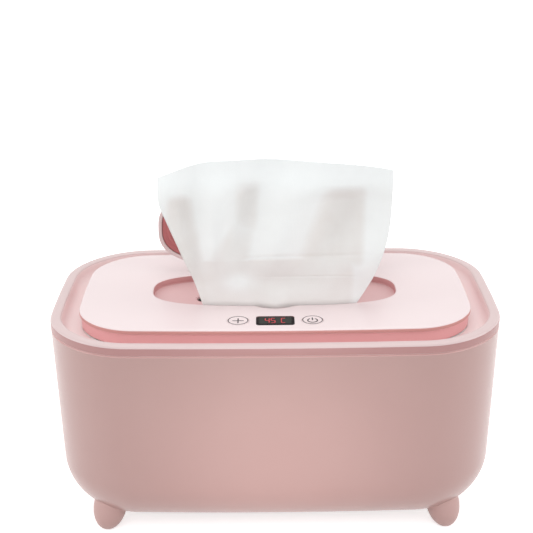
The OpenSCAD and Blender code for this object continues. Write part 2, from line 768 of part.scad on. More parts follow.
// Route of the lead from the gland to the coil, dropping to the floor and turning towards the coil
lead_route = [[gland_x, gland_end_y, gland_z], [gland_x, 101, 38], [gland_x, 107, 37.3],
    [gland_x, 113, 35], [-60, 119, 30.8], [-60, 125, 25], [-59.6, 131, 18.8], [-58, 137.6, 12.2],
    [-55.6, 143.2, 7.6], [-52.4, 148.4, 4.8], [-48, 153.6, 3.2], [-42, 158.6, 3.1],
    [-35, 162.4, 3.1], [-27, 165, 3.1], [-18, 166.2, 3.1], [-4, coil_y + coil_out_r, 3.1],
    [10, coil_y + coil_out_r, 3.4], [22, coil_y + coil_out_r, coil_low_z - 0.1],
    [coil_x - 12, coil_y + coil_out_r, coil_low_z], [coil_x - cord_d, coil_y + coil_out_r, coil_low_z]];
// Route of the tail from the coil's top layer down to the plug
tail_route = [[coil_x - cord_d, plug_y, coil_low_z + coil_pitch],
    [coil_x - 2 * cord_d, plug_y, coil_low_z + coil_pitch], [24, plug_y, 9.9], [15, plug_y, 8.6],
    [5, plug_y, plug_z], [-1, plug_y, plug_z]];

// Point of the coil after t turns: spirals in and out at a steady rate, and climbs a layer
// in the half turn where the spiral reverses
function coil_point(t) =
    let (a = 90 - 360 * t, r = coil_in_r + coil_pitch * abs(t - coil_total / 2),
        z = coil_low_z + coil_pitch * smooth(2 * (t - coil_turns)))
    [coil_x + r * cos(a), coil_y + r * sin(a), z];
coil_count = round(coil_total * coil_rings);
coil_path = concat([coil_point(0) - [cord_d, 0, 0], coil_point(0) - [cord_d / 2, 0, 0]],
    [for (i = [0 : coil_count]) coil_point(i / coil_rings)],
    [coil_point(coil_total) - [cord_d / 2, 0, 0], coil_point(coil_total) - [cord_d, 0, 0]]);

// Least clear gap between stretches of the coil that are at least a third of a turn apart
coil_gaps = [for (i = [0 : coil_count], j = [i + coil_rings / 3 : coil_count])
    norm(coil_point(i / coil_rings) - coil_point(j / coil_rings)) - cord_d];
echo(least_coil_gap_mm = min(coil_gaps));
function path_length(p) = len(p) < 2 ? 0 : [for (i = [1 : len(p) - 1]) norm(p[i] - p[i - 1])]
    * [for (i = [1 : len(p) - 1]) 1];
echo(cord_length_mm = path_length(lead_route) + path_length(coil_path) + path_length(tail_route));

function unit(v) = v / norm(v);
// Tube of a radius along a path that never runs straight up or down
module tube(path, r, sides) {
    n = len(path);
    rings = [for (i = [0 : n - 1])
        let (t = unit(path[min(n - 1, i + 1)] - path[max(0, i - 1)]), s = unit(cross(t, [0, 0, 1])),
            up = cross(s, t))
        [for (k = [0 : sides - 1]) let (a = 360 * (k + 0.5) / sides) path[i] + r * (cos(a) * s + sin(a) * up)]];
    loft(rings);
}

module cord_lead() color(cord_colour) tube(lead_route, cord_r, 8);
module cord_coil() color(cord_colour) tube(coil_path, cord_r, 6);
module cord_tail() color(cord_colour) tube(tail_route, cord_r, 8);

module cord_gland() {
    tip = gland_end_y;
    seat = gland_seat_y;
    // [radius, distance along the cord]: inner flange, neck, outer flange and ribbed taper
    ribs = [for (i = [0 : 4]) each let (y = seat + 5.5 + 3.6 * i, r = 5.6 - 0.3 * i)
        [[r, y], [r, y + 2], [r - 0.9, y + 2.4], [r - 0.9, y + 3.2]]];
    profile = concat([[0, seat - 6.9], [7, seat - 6.9], [7, seat - 5.5], [gland_neck_r, seat - 5.5],
        [gland_neck_r, seat], [7.5, seat], [7.5, seat + 1.6], [6.8, seat + 2.4], [5.8, seat + 3]],
        ribs, [[3.7, tip - 1], [3.4, tip], [0, tip]]);
    color(cord_colour) translate([gland_x, 0, gland_z]) rotate([-90, 0, 0]) rotate_extrude() polygon(profile);
}

module cord_tie() {
    tie_w = 6;
    tie_t = 0.8;
    bundle_w = (coil_turns - 0.5) * coil_pitch + cord_d + 0.6;
    bundle_h = coil_pitch + cord_d + 0.1;
    bundle_r = coil_in_r + coil_pitch * (coil_turns + 0.5) / 2;
    color("#4A4A4C") translate([coil_x + bundle_r, coil_y + tie_w / 2, coil_low_z + coil_pitch / 2])
        rotate([90, 0, 0]) linear_extrude(tie_w) difference() {
            round_square(bundle_w + 2 * tie_t, bundle_h + 2 * tie_t, 2.4);
            round_square(bundle_w, bundle_h, 1.6);
        }
}

// Two-blade plug, its face towards -X, lying on its broad side
plug_face_x = -42;
plug_side = [[0, 12], [2.5, 12], [3, 10.6], [14, 9], [16.5, 8.8], [19, 9.8], [21, 11.6], [22.5, 12],
    [24.4, 11.6], [27, 6.4]];
plug_top = [[0, 7.5], [2.5, 7.5], [3, 6.8], [14, 6.2], [21, 5.2], [24, 5.6], [27, 5.4]];
// Closed outline from the half widths along the plug
function both_sides(half) = concat(half, [for (i = [len(half) - 1 : -1 : 0]) [half[i][0], -half[i][1]]]);
// Blades, and how deep they sit in the body
blade_l = 17;
blade_w = 6.35;
blade_t = 1.5;
blade_pitch = 12.7;
blade_seat = 3;

module plug_body() {
    relief = [[0, -14.4], [5, -14.4], [4.8, -12], [5, -11.6], [5, -9.4], [3.9, -9], [3.9, -8], [4.8, -7.6],
        [4.8, -5.4], [3.8, -5], [3.6, -1], [3.4, 0], [0, 0]];
    color(cord_colour) difference() {
        union() {
            intersection() {
                translate([plug_face_x, plug_y, plug_z - 8]) linear_extrude(16) polygon(both_sides(plug_side));
                translate([plug_face_x, plug_y + 13, plug_z]) rotate([90, 0, 0]) linear_extrude(26)
                    polygon(both_sides(plug_top));
            }
            translate([-1, plug_y, plug_z]) rotate([0, 90, 0]) rotate_extrude() polygon(relief);
        }
        for (s = [-1, 1]) translate([plug_face_x, plug_y + s * blade_pitch / 2, plug_z])
            block([-1, -blade_t / 2 - slack, -blade_w / 2 - slack],
                [blade_seat + slack, blade_t / 2 + slack, blade_w / 2 + slack]);
    }
}

module plug_blades() {
    color(metal_colour) for (s = [-1, 1])
        translate([plug_face_x, plug_y + s * blade_pitch / 2 + blade_t / 2, plug_z]) rotate([90, 0, 0])
            linear_extrude(blade_t) difference() {
                polygon([[blade_seat, -blade_w / 2], [blade_seat, blade_w / 2], [1.6 - blade_l, blade_w / 2],
                    [-blade_l, blade_w / 2 - 1.8], [-blade_l, 1.8 - blade_w / 2], [1.6 - blade_l, -blade_w / 2]]);
                translate([-11.8, 0]) circle(r = 1.6);
            }
}

outer_shell();
rim_ring();
tank_liner();
heat_spreader();
heating_film();
insulation_pad();
heater_bracket();
bracket_screws();
thermal_cutout();
temperature_sensor();
heater_wires();
power_board();
power_board_parts();
power_board_screws();
bottom_cover();
cover_screws();
foot_front_left();
foot_front_right();
foot_back_left();
foot_back_right();
foot_pads();
foot_screws();
inner_cord();
mains_wires();
cord_clamp();
clamp_screws();
lid_hinge_pins();
lid_plate();
lid_frame();
lid_gasket();
lid_screws();
slot_insert();
control_board();
key_switches();
display_module();
display_window();
cap_hinge_pins();
wipe();
flip_cap();
cap_inner_panel();
cap_seal();
plus_key();
power_key();
cord_gland();
cord_lead();
cord_coil();
cord_tail();
cord_tie();
plug_body();
plug_blades();
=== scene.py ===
# %% [markdown]
# # Baby wipe warmer
# A pink tub on four peg feet, with a lid sunk inside its rim, an oval flip cap that
# stands open over the slot, two keys, a small display and a mains cord. The packed
# model gives every piece its place, and this script dresses it: smooth skins where
# the solids are faceted, a soft wipe, a real cord and a finish for each part.

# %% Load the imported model
import json

import bmesh
import bpy
import numpy as np
from mathutils import Matrix, Vector

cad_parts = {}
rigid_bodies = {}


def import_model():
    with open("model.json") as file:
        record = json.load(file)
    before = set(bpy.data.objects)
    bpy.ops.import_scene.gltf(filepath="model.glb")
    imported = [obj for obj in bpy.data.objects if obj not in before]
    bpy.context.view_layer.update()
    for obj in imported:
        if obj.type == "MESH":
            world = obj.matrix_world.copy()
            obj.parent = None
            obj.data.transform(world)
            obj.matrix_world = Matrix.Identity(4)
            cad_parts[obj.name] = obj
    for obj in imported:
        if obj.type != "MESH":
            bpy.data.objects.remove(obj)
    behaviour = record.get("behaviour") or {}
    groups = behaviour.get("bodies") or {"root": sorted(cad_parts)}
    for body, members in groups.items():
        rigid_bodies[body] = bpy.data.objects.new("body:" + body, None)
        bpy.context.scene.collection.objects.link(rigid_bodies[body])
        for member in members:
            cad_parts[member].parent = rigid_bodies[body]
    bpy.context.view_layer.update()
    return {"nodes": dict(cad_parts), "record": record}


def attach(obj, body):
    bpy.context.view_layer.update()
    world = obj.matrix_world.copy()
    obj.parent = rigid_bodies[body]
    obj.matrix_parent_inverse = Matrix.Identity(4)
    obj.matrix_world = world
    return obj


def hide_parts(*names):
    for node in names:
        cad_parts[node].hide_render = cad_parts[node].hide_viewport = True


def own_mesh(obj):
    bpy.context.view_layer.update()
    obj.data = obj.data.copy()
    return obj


for left_over in list(bpy.data.objects):
    bpy.data.objects.remove(left_over)
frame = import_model()
nodes = frame["nodes"]

# %% [markdown]
# ## Helpers for meshes
# Every new skin here is a grid of points: rings that run round the object, one after
# another. Whole rings are computed as arrays in millimetres, which are the units that
# its maker would use, and the last step turns them into metres.

# %% Grids of points into meshes
MM = 0.001
WELD = 1e-6  # points closer than this, in metres, are one point
SHARP = 32  # degrees between two faces from which their edge is a crease


def grid_faces(rows, cols, join_rows, join_cols):
    """Quads of a grid numbered row by row; a joined direction meets its own start."""
    r = np.arange(rows if join_rows else rows - 1)[:, None]
    c = np.arange(cols if join_cols else cols - 1)[None, :]
    r_next, c_next = (r + 1) % rows, (c + 1) % cols
    corners = [r * cols + c, r * cols + c_next, r_next * cols + c_next, r_next * cols + c]
    return np.stack(corners, -1).reshape(-1, 4).tolist()


def loft(rings, closed=False):
    """Skin over rings of equal count. Closed, the last ring meets the first, as round
    a tube's wall; otherwise a fan from the mean point closes each end."""
    rings = np.array(rings)
    rows, cols = rings.shape[:2]
    points = rings.reshape(-1, 3)
    faces = grid_faces(rows, cols, closed, True)
    for row in () if closed else (0, rows - 1):
        i = row * cols + np.arange(cols)
        faces += np.stack([np.full(cols, len(points)), i, np.roll(i, -1)], 1).tolist()
        points = np.vstack([points, rings[row].mean(0)])
    return points, faces


def make_mesh(name, shells):
    """One mesh from (points in mm, faces) shells, its faces turned outwards."""
    points, faces = [], []
    for shell_points, shell_faces in shells:
        start = sum(len(p) for p in points)
        points.append(shell_points)
        faces += [[start + i for i in face] for face in shell_faces]
    mesh = bpy.data.meshes.new(name)
    mesh.from_pydata((np.concatenate(points) * MM).tolist(), [], faces)
    work = bmesh.new()
    work.from_mesh(mesh)
    bmesh.ops.remove_doubles(work, verts=work.verts, dist=WELD)
    bmesh.ops.recalc_face_normals(work, faces=work.faces)
    work.to_mesh(mesh)
    work.free()
    return mesh


def new_object(name, data):
    """A new object in the scene, for a mesh, a lamp or the camera."""
    thing = bpy.data.objects.new(name, data)
    bpy.context.scene.collection.objects.link(thing)
    return thing


def shade(mesh, sharp=SHARP):
    """Smooth shading, but for edges where faces meet at more than an angle in degrees."""
    mesh.polygons.foreach_set("use_smooth", np.ones(len(mesh.polygons), bool))
    mesh.set_sharp_from_angle(angle=np.radians(sharp))


def finish_piece(mesh, body, finish, stands_for=(), sharp=SHARP):
    """Makes a mesh a piece of the object: shaded, with its finish, and on its body."""
    shade(mesh, sharp)
    mesh.materials.append(FINISHES[finish])
    piece = new_object(mesh.name, mesh)
    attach(piece, body)
    if stands_for:
        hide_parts(*stands_for)
    print(piece.name, len(mesh.polygons), "faces")
    return piece


def make_piece(name, shells, *place_and_finish, **more):
    """A mesh and its piece in one step."""
    return finish_piece(make_mesh(name, shells), *place_and_finish, **more)


def apply_modifiers(piece):
    """Puts what a piece's modifiers make of its mesh in the mesh's place."""
    shaped = piece.evaluated_get(bpy.context.evaluated_depsgraph_get())
    mesh = bpy.data.meshes.new_from_object(shaped)
    piece.modifiers.clear()
    piece.data = mesh
    return mesh


def cut_away(piece, shells):
    """Takes closed shells out of a piece with an exact Boolean, and keeps the result."""
    cutter = new_object("cutter", make_mesh("cutter", shells))
    boolean = piece.modifiers.new("cut", "BOOLEAN")
    boolean.operation, boolean.solver, boolean.object = "DIFFERENCE", "EXACT", cutter
    shade(apply_modifiers(piece))
    bpy.data.objects.remove(cutter)


SIDE_UP = 0.45  # a face whose normal rises less than this belongs to an upright side
FILLET_UP = 0.8  # this limit takes in most of the fillet at the side's foot as well


def paint_light_and_shade(piece, finish, outward, z_low, z_high, up_limit=2):
    """Paints light or shade: a second finish, a paler or deeper copy of a colour, on the
    faces that look away from the object's upright axis, or towards it, whose middles lie
    between two heights in mm, and whose normals rise or fall by less than a limit. No
    normal reaches the default limit."""
    faces = piece.data.polygons
    middle, normal = np.zeros(3 * len(faces)), np.zeros(3 * len(faces))
    faces.foreach_get("center", middle)
    faces.foreach_get("normal", normal)
    middle, normal = middle.reshape(-1, 3) / MM, normal.reshape(-1, 3)
    z, looks_out = middle[:, 2], (middle[:, :2] * normal[:, :2]).sum(1) > 0
    picked = (looks_out == outward) & (z > z_low) & (z < z_high) & (np.abs(normal[:, 2]) < up_limit)
    index = np.zeros(len(faces), np.int32)
    faces.foreach_get("material_index", index)
    index[picked] = len(piece.data.materials)
    piece.data.materials.append(FINISHES[finish])
    faces.foreach_set("material_index", index)


# %% [markdown]
# ## Helpers for outlines
# The body and the lid share one plan: a rounded rectangle whose sides bulge a little.
# The opening is a squarer ellipse with a round finger notch. Where two loops are
# joined by a flat face, both are sampled at the same directions from the middle, so
# no quad between them can cross another.

# %% Plan outlines
BULGE_FRONT, BULGE_END = 2.5, 2.0


def outline(width, depth, radius, steps=(20, 36, 20)):
    """Rounded rectangle of half size (X, Y), with x scaled by 1 + e/X (1 - (y/Y)^2) and
    y by 1 + f/Y (1 - (x/X)^2), so that its ends and its front bulge by e and f."""
    corner, front, end = steps
    half = np.array([width / 2 - BULGE_END, depth / 2 - BULGE_FRONT])
    x, y = half - radius
    centres = np.array([[x, y], [-x, y], [-x, -y], [x, -y]])
    goals = np.array([[-x, half[1]], [-half[0], -y], [x, -half[1]], [half[0], y]])
    runs = []
    for k in range(4):
        turn = np.radians(90 * k + 90 * np.arange(corner + 1) / corner)
        arc = centres[k] + radius * np.stack([np.cos(turn), np.sin(turn)], 1)
        count = (front, end)[k % 2]
        share = (np.arange(1, count) / count)[:, None]
        runs += [arc, arc[-1] + (goals[k] - arc[-1]) * share]
    flat = np.concatenate(runs)
    bulge = np.array([BULGE_END, BULGE_FRONT])
    return flat * (1 + bulge / half * (1 - (flat[:, ::-1] / half[::-1]) ** 2))


def at_height(flat, z):
    """A plan outline lifted to a height."""
    return np.column_stack([flat, np.full(len(flat), z)])


def at_heights(flat, *heights):
    """The same outline at one height after another."""
    return [at_height(flat, z) for z in heights]


BODY_W, BODY_D, BODY_R = 230, 138, 41
PLATE_W, PLATE_D, PLATE_R = 201, 108, 28


def body_outline(inset):
    """The body's plan at the rim, drawn in by an inset."""
    return outline(BODY_W - 2 * inset, BODY_D - 2 * inset, BODY_R - inset)


def around(flat, directions):
    """Points where a star-shaped outline is met in given directions from the middle."""
    turn = np.arctan2(flat[:, 1], flat[:, 0])
    return np.stack([np.interp(directions, turn, axis, period=2 * np.pi) for axis in flat.T], 1)


OVAL_A, OVAL_B, OVAL_POWER = 64, 23, 2.9
NOTCH_R, NOTCH_Y = 15.7, -11.1
SLOT_L, SLOT_W, SLOT_Y = 82, 9, -3


def slot_outline(gap):
    """A straight slot with round ends, widened by a gap."""
    r = SLOT_W / 2 + gap
    turn = np.radians(np.linspace(-90, 90, 49))
    end = np.stack([SLOT_L / 2 - SLOT_W / 2 + r * np.cos(turn), r * np.sin(turn)], 1)
    return np.concatenate([end, -end]) + [0, SLOT_Y]


def oval_reach(a, b, directions):
    """Distance to a superellipse: (|cos|/a)^n + (|sin|/b)^n, to the power -1/n."""
    c, s = np.abs(np.cos(directions)) / a, np.abs(np.sin(directions)) / b
    return (c**OVAL_POWER + s**OVAL_POWER) ** (-1 / OVAL_POWER)


# directions that are dense where the oval turns and where the slot's ends do
sweep = np.linspace(0, 2 * np.pi, 480, endpoint=False)
oval_turn = np.arctan2(OVAL_B * np.sin(sweep), OVAL_A * np.cos(sweep))
slot_turn = np.arctan2(*slot_outline(0).T[::-1])
DIRECTIONS = np.unique(np.round(np.concatenate([oval_turn, slot_turn]), 3))


def polar(reach):
    """Points at a distance in each of the shared directions."""
    return np.stack([reach * np.cos(DIRECTIONS), reach * np.sin(DIRECTIONS)], 1)


def oval(a, b):
    """The squarer ellipse by itself."""
    return polar(oval_reach(a, b, DIRECTIONS))


def opening(gap):
    """Oval joined to the notch's circle by a soft maximum: log(e^kp + e^kq) / k."""
    toward = NOTCH_Y * np.sin(DIRECTIONS)
    circle = toward + np.sqrt((NOTCH_R + gap) ** 2 - NOTCH_Y**2 + toward**2)
    blend = 2.0
    both = [blend * oval_reach(OVAL_A + gap, OVAL_B + gap, DIRECTIONS), blend * circle]
    return polar(np.logaddexp(*both) / blend)


def plate_outline(inset):
    """The lid plate's plan, drawn in by an inset, in the shared directions."""
    flat = outline(PLATE_W - 2 * inset, PLATE_D - 2 * inset, max(PLATE_R - inset, 3))
    return around(flat, DIRECTIONS)


def quarter(start, end, steps, flat_first):
    """Quarter ellipse from one [inset, height] to another, leaving level or upright."""
    t = np.linspace(0, np.pi / 2, steps)
    slow, fast = (1 - np.cos(t))[:, None], np.sin(t)[:, None]
    share = np.hstack([fast, slow] if flat_first else [slow, fast])
    return (np.array(start) + (np.array(end) - np.array(start)) * share).tolist()


def about(x, z, *points):
    """Points of a profile that are given from a place of their own, at x and z."""
    return [[x + right, z + up] for right, up in points]


def rings_of(plan, profile):
    """One ring of a plan for each [inset, height] of a profile."""
    return [at_height(plan(inset), z) for inset, z in profile]


print("directions", len(DIRECTIONS))

# %% [markdown]
# ## Revolved and carried shapes
# Keys, feet and the gland's seat are turned on a lathe in this script: a profile of
# radius and height goes round an axis. Hinge knuckles are profiles carried along X,
# with their end edges eased as a mould would leave them.

# %% Lathe and bar
AXIS_R = 0.01  # a profile that should reach its axis stops this short of it, in mm


def lathe(profile, centre, axis="z", steps=64, closed=False):
    """Profile of [radius, height] turned round an axis that stands at a centre."""
    profile = np.array(profile, float)
    turn = np.linspace(0, 2 * np.pi, steps, endpoint=False)
    r, h = profile[:, 0][:, None], profile[:, 1][:, None] + 0 * turn
    u, v = r * np.cos(turn), r * np.sin(turn)
    order = {"z": (u, v, h), "y": (u, h, v), "x": (h, u, v)}[axis]
    return loft(np.stack(order, -1) + np.array(centre, float), closed)


def bar(profile, middle_x, length, ease=0.35, steps=4):
    """A closed [y, z] profile carried along X. Over the last stretch of each end it lies
    ease (1 - sin t) inside the end and is shrunk by ease (1 - cos t), where t grows to
    a quarter turn."""
    profile = np.array(profile, float)
    middle = profile.mean(0)
    reach = np.linalg.norm(profile - middle, axis=1).mean()
    t = np.linspace(0, np.pi / 2, steps)[::-1]
    x, shrink = ease * (1 - np.sin(t)), 1 - ease * (1 - np.cos(t)) / reach
    x = np.concatenate([middle_x - length / 2 + x, (middle_x + length / 2 - x)[::-1]])
    shrink = np.concatenate([shrink, shrink[::-1]])
    flat = middle + (profile - middle) * shrink[:, None, None]
    level = np.broadcast_to(x[:, None, None], (len(x), len(profile), 1))
    return loft(np.concatenate([level, flat], -1))


def beside(profile, hinge_x, gap, length, ease=0.35):
    """Bars on both sides of the hinges at -x and x, from a gap off each one outwards."""
    return [bar(profile, centre + hand * (gap + length / 2), length, ease)
            for centre in (-hinge_x, hinge_x) for hand in (-1, 1)]


def arc(centre, radius, start, end, steps=24):
    """Points along a circle's arc between two angles in degrees."""
    t = np.radians(np.linspace(start, end, steps))
    return (np.array(centre) + radius * np.stack([np.cos(t), np.sin(t)], 1)).tolist()


# %% [markdown]
# ## Camera
# The photograph looks down at the tub from a hand's height above it. The place, tilt
# and focal length were found beforehand by laying the rim's, the lid's and the body's
# outlines over the picture, and only the numbers that came out of it are used here.

# %% Camera at the photograph's viewing angle
RIM_Z = 114
IMAGE_SIZE, FOCAL_LENGTH = 533, 1161.11  # in pixels
camera_data = bpy.data.cameras.new("camera")
camera = new_object("camera", camera_data)
bpy.context.scene.camera = camera
camera_data.sensor_width = 36
camera_data.lens = FOCAL_LENGTH / IMAGE_SIZE * camera_data.sensor_width
rise, side, distance = np.radians(22.263), np.radians(-0.414), 617.38
tilt, roll = np.radians(20.994), np.radians(-0.516)


def away_from_object(up_angle, side_angle):
    """Direction from the object to a viewer at an elevation and an azimuth."""
    level = np.cos(up_angle)
    return np.array([np.sin(side_angle) * level, -np.cos(side_angle) * level, np.sin(up_angle)])


place = (away_from_object(rise, side) * distance + [0, 0, RIM_Z]) * MM
back, right = away_from_object(tilt, 0), np.array([1, 0, 0])
up = np.cross(back, right)
across = np.cos(roll) * right + np.sin(roll) * up
upright = np.cos(roll) * up - np.sin(roll) * right
stand = np.eye(4)
stand[:3] = np.stack([across, upright, back, place], 1)
camera.matrix_world = Matrix(stand.tolist())
camera_data.clip_start, camera_data.clip_end = 0.05, 30
print("camera at", np.round(place, 3), "lens", round(camera_data.lens, 2))

# %% [markdown]
# ## Room
# A pale floor and a plain even sky, with broad softboxes above the front and behind,
# and one at each side. The corners of the tub turn between front and side boxes, which
# gives them the slightly darker bands of the photograph. A small lamp with a grid adds
# the paler middle of the front. The floor shows white to the camera and to glossy rays,
# but keeps the shadow that falls on it.

# %% Floor, sky and lamps


def linear(code):
    """An sRGB hex colour as linear values: s / 12.92, or ((s + 0.055) / 1.055)^2.4."""
    s = np.array([int(code[i : i + 2], 16) for i in (1, 3, 5)]) / 255
    return (*np.where(s <= 0.04045, s / 12.92, ((s + 0.055) / 1.055) ** 2.4).tolist(), 1.0)


def add(tree, kind, inputs=(), **settings):
    """Adds one node. Settings are its own properties, and inputs give each socket in
    use, by name or number, a value, an output of another node, or another node, which
    stands for the first of its outputs in use."""
    node = tree.nodes.new("ShaderNode" + kind)
    for key, value in settings.items():
        setattr(node, key, value)
    in_use = {socket.name: socket for socket in reversed(node.inputs) if socket.enabled}
    for key, value in dict(inputs).items():
        socket = node.inputs[key] if isinstance(key, int) else in_use[key]
        if isinstance(value, bpy.types.Node):
            value = next(out for out in value.outputs if out.enabled)
        if isinstance(value, bpy.types.NodeSocket):
            tree.links.new(value, socket)
        else:
            socket.default_value = value
    return node


def new_material(name):
    """An empty node material and its tree."""
    material = bpy.data.materials.new(name)
    material.use_nodes = True
    material.node_tree.nodes.clear()
    return material, material.node_tree


def seen_directly(tree):
    """1 for camera, glossy and transmission rays, 0 for the light that falls on things."""
    rays = add(tree, "LightPath").outputs
    first = add(tree, "Math", {0: rays["Is Camera Ray"], 1: rays["Is Glossy Ray"]},
                operation="MAXIMUM")
    return add(tree, "Math", {0: first, 1: rays["Is Transmission Ray"]}, operation="MAXIMUM")


floor_finish, tree = new_material("painted_floor")
paper = add(tree, "BsdfDiffuse", {"Color": linear("#F4F4F4"), "Roughness": 0.6})
glow = add(tree, "Emission", {"Color": linear("#FFFFFF"), "Strength": 0.62})
nothing = add(tree, "Emission", {"Color": linear("#000000"), "Strength": 0.0})
lift = add(tree, "MixShader", {"Fac": seen_directly(tree), 1: nothing, 2: glow})
add(tree, "OutputMaterial", {"Surface": add(tree, "AddShader", {0: paper, 1: lift})})

FLOOR_HALF = 12.0
floor_mesh = bpy.data.meshes.new("floor")
corners = [(x * FLOOR_HALF, y * FLOOR_HALF, 0.0) for x, y in ((-1, -1), (1, -1), (1, 1), (-1, 1))]
floor_mesh.from_pydata(corners, [], [(0, 1, 2, 3)])
floor_mesh.materials.append(floor_finish)
new_object("floor", floor_mesh)

world = bpy.data.worlds.new("studio")
bpy.context.scene.world = world
world.use_nodes = True
tree = world.node_tree
tree.nodes.clear()
SKY_LIGHT = 0.62
strength = add(tree, "MapRange", {"Value": seen_directly(tree), "To Min": SKY_LIGHT, "To Max": 1.0})
sky = add(tree, "Background", {"Color": linear("#FFFFFF"), "Strength": strength})
add(tree, "OutputWorld", {"Surface": sky})

LAMPS = {
    # name: (place in m, what it points at in m, size in m, spread in degrees, watts)
    "front_box": ((-0.25, -1.5, 1.45), (0, 0, 0.08), (1.6, 0.9), 180, 7.0),
    "left_box": ((-1.5, -0.15, 0.8), (0, 0, 0.08), (1.0, 1.2), 180, 6.4),
    "right_box": ((1.5, -0.15, 0.8), (0, 0, 0.08), (1.0, 1.2), 180, 6.9),
    "top_box": ((0.0, 0.5, 1.7), (0, 0, 0.08), (1.4, 1.0), 180, 7.5),
    # a grid on this one narrows it to a pool on the middle of the front
    "front_grid": ((0.0, -0.95, 0.05), (0, -0.07, 0.05), (0.06, 0.06), 12, 0.015),
}
for name, (spot, target, size, spread, watts) in LAMPS.items():
    light = bpy.data.lights.new(name, "AREA")
    light.shape, light.size, light.size_y, light.energy = "RECTANGLE", *size, watts
    light.spread = np.radians(spread)
    lamp = new_object(name, light)
    aim = Vector(target) - Vector(spot)
    lamp.location, lamp.rotation_euler = spot, aim.to_track_quat("-Z", "Y").to_euler()
bpy.context.scene.view_settings.view_transform = "Standard"
print("lamps", list(LAMPS))

# %% [markdown]
# ## Finishes of the plastics
# Nearly all of the object is injection moulded. Its skin copies a spark-eroded steel
# mould, so under the gloss it has a very fine orange-peel grain, and the colour is in
# the plastic itself, with only the faintest clouding where it flowed. One function
# lays down those three things, and each plastic then gets its own numbers. Most of
# the materials end in the same way, so that end is a function too.

# %% Moulded plastics
FLOW_SCALE = 28.0  # clouds a few centimetres wide
POLISH_SWING = 0.04  # how far the grain takes the roughness up and down


def end_material(tree, pattern, colours, relief, skin):
    """Ends a material: two sRGB colours mixed by a pattern, a bump from a height with a
    strength and a depth in mm, and the shader with the rest of its inputs."""
    first, second = map(linear, colours)
    tint = add(tree, "Mix", {"Factor": pattern, "A": first, "B": second}, data_type="RGBA")
    height, strength, depth_mm = relief
    bump = add(tree, "Bump", {"Height": height, "Strength": strength, "Distance": depth_mm * MM})
    shader = add(tree, "BsdfPrincipled", {"Base Color": tint, "Normal": bump, **skin})
    add(tree, "OutputMaterial", {"Surface": shader})


def moulded(name, colour, cloud, rough, grain_mm, grain_depth_mm, ior=1.53, coat=0.0, sheen=0.0,
            gloss=0.5):
    """A moulded plastic or rubber. Object coordinates are metres, so a grain of g mm is
    a noise of scale 1000 / g. The real grain is finer and is drawn as coarse as shows."""
    material, tree = new_material(name)
    where = add(tree, "TexCoord").outputs["Object"]
    flow = add(tree, "TexNoise", {"Vector": where, "Scale": FLOW_SCALE, "Detail": 3.0,
                                  "Roughness": 0.45})
    grain = add(tree, "TexNoise", {"Vector": where, "Scale": 1000 / grain_mm, "Detail": 2.0})
    polish = add(tree, "MapRange", {
        "Value": grain, "From Min": 0.3, "From Max": 0.7,
        "To Min": rough - POLISH_SWING, "To Max": rough + POLISH_SWING})
    end_material(tree, flow, (colour, cloud), (grain, 0.35, grain_depth_mm), {
        "Roughness": polish, "IOR": ior, "Specular IOR Level": gloss, "Coat Weight": coat,
        "Coat Roughness": 0.22, "Sheen Weight": sheen})
    return material


